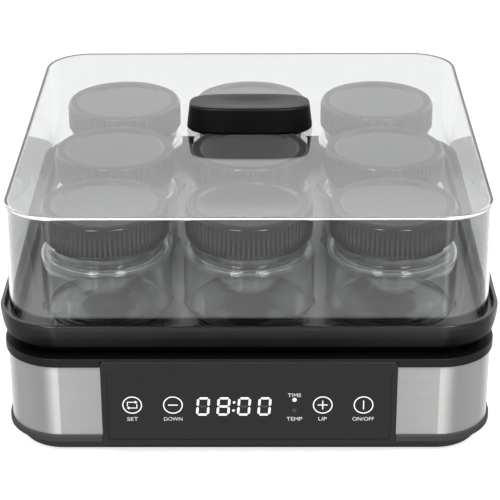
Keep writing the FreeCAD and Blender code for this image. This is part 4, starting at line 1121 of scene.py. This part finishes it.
def make_room(scene, sizes):
    """White room: full white to the camera and straight through glass; gloss shows it with a dim front."""
    world = bpy.data.worlds.new("white_room")
    scene.world = world
    world.use_nodes = True
    tree = world.node_tree
    tree.nodes.clear()
    way = add(tree, "TexCoord").outputs["Generated"]
    across, onward, up = add(tree, "SeparateXYZ", (way,)).outputs
    # In front: the table, shaded close by and bright along its edge, and the dim room over it
    table = add(tree, "MapRange", (up, *NEAR_TABLE, sizes.shade, sizes.table))
    front = add(tree, "MapRange", (up, *HORIZON, table, sizes.front))
    over_edge = add(tree, "Math", (up, TABLE_EDGE), operation="SUBTRACT")
    from_edge = add(tree, "Math", (over_edge,), operation="ABSOLUTE")
    glare = add(tree, "MapRange", (from_edge, *EDGE_FADE, sizes.glare, 0.0))
    front = add(tree, "Math", (front, glare), operation="ADD")
    # Behind: the table, dimmer at the sides, and a wall that brightens upward
    beside = add(tree, "MapRange", (up, *SIDE_TABLE, sizes.yard, sizes.side))
    wall = add(tree, "MapRange", (up, *BACK_TABLE, sizes.yard, sizes.back))
    backward = add(tree, "MapRange", (onward, *SIDE_TO_BACK, 0.0, 1.0))
    wall = add(tree, "Mix", (backward, beside, wall))
    wall = add(tree, "MapRange", (up, *HIGH_WALL, wall, sizes.high))
    sideward = add(tree, "MapRange", (onward, *FRONT_TO_SIDE, 0.0, 1.0))
    hall = add(tree, "Mix", (sideward, front, wall))
    hall = add(tree, "MapRange", (up, *UNDERFOOT, sizes.shade, hall))
    # Two bright strips in front, one each side
    forward = add(tree, "Math", (onward, -1.0), operation="MULTIPLY")
    bearing = add(tree, "Math", (across, forward), operation="ARCTAN2")
    turned = add(tree, "Math", (bearing, sizes.strip_turn), operation="ADD")
    aside = add(tree, "Math", (turned,), operation="ABSOLUTE")
    past_strip = add(tree, "Math", (aside, sizes.strip_bearing), operation="SUBTRACT")
    from_strip = add(tree, "Math", (past_strip,), operation="ABSOLUTE")
    strip = add(tree, "MapRange", (from_strip, *STRIP_FADE, sizes.strip, 0.0))
    strip = add(tree, "MapRange", (up, *STRIP_TOP, strip, 0.0))
    shown = add(tree, "Math", (hall, strip), operation="ADD")
    under_ceiling = add(tree, "MapRange", (up, *CEILING, shown, sizes.ceiling))
    # What each kind of ray sees
    path = add(tree, "LightPath").outputs
    mirrored = add(tree, "Math", (path["Glossy Depth"], 0.5), operation="GREATER_THAN")
    straight = add(tree, "Mix", (mirrored, 1.0, shown))
    matt = add(tree, "Mix", (path["Is Glossy Ray"], sizes.room, under_ceiling))
    seen = add(tree, "Mix", (path["Is Transmission Ray"], matt, straight))
    strength = add(tree, "Mix", (path["Is Camera Ray"], seen, 1.0))
    light = add(tree, "Background", (linear("#ffffff"), strength))
    add(tree, "OutputWorld", {"Surface": light})


def make_softbox(scene, sizes, side):
    """Tall lamp in front, on one side, aimed at the jars."""
    lamp = bpy.data.lights.new("softbox", "AREA")
    lamp.shape = "RECTANGLE"
    lamp.size = sizes.lamp_width
    lamp.size_y = sizes.lamp_height
    lamp.energy = sizes.lamp_power
    box = bpy.data.objects.new("softbox", lamp)
    scene.collection.objects.link(box)
    box.location = (side * sizes.lamp_place[0], sizes.lamp_place[1], sizes.lamp_place[2])
    aim = Vector(sizes.lamp_aim) - box.location
    box.rotation_euler = aim.to_track_quat("-Z", "Y").to_euler()


def make_camera(scene, sizes):
    camera = bpy.data.cameras.new("camera")
    camera.lens = sizes.lens
    camera.sensor_width = 36.0
    view = bpy.data.objects.new("camera", camera)
    scene.collection.objects.link(view)
    yaw = Matrix.Rotation(sizes.yaw, 4, "Z")
    pitch = Matrix.Rotation(math.pi / 2 - sizes.pitch, 4, "X")
    roll = Matrix.Rotation(sizes.roll, 4, "Z")
    view.matrix_world = Matrix.Translation(sizes.eye) @ yaw @ pitch @ roll
    scene.camera = view


class YOGURT_PT_sidebar(bpy.types.Panel):
    """Sizes and colours of the yogurt maker, with a button for each group of pieces"""
    bl_idname = "YOGURT_PT_sidebar"
    bl_label = "Yogurt maker"
    bl_space_type = "VIEW_3D"
    bl_region_type = "UI"
    bl_category = "Yogurt maker"

    def draw(self, context):
        for operator in OPERATORS:
            self.layout.operator(operator.bl_idname)
        for name, kind in PROPERTY_GROUPS.items():
            box = self.layout.box()
            for key in kind.__annotations__:
                box.prop(getattr(context.scene, name), key)


PROPERTY_GROUPS = {
    "yogurt_lid": LidSizes,
    "yogurt_jar": JarSizes,
    "yogurt_cap": CapSizes,
    "yogurt_base": BaseLooks,
    "yogurt_panel": PanelSizes,
    "yogurt_stage": StageSizes,
}
OPERATORS = (
    YOGURT_OT_stage,
    YOGURT_OT_base,
    YOGURT_OT_panel,
    YOGURT_OT_inside,
    YOGURT_OT_jars,
    YOGURT_OT_caps,
    YOGURT_OT_lid,
)


def register():
    for kind in (*PROPERTY_GROUPS.values(), *OPERATORS, YOGURT_PT_sidebar):
        bpy.utils.register_class(kind)
    for name, kind in PROPERTY_GROUPS.items():
        setattr(bpy.types.Scene, name, bpy.props.PointerProperty(type=kind))


def unregister():
    for name in PROPERTY_GROUPS:
        delattr(bpy.types.Scene, name)
    for kind in (YOGURT_PT_sidebar, *reversed(OPERATORS), *reversed(PROPERTY_GROUPS.values())):
        bpy.utils.unregister_class(kind)


def main():
    register()
    bpy.ops.yogurt.stage()
    bpy.ops.yogurt.base()
    bpy.ops.yogurt.panel()
    bpy.ops.yogurt.inside()
    bpy.ops.yogurt.jars()
    bpy.ops.yogurt.caps()
    bpy.ops.yogurt.lid()


if __name__ == "__main__":
    main()
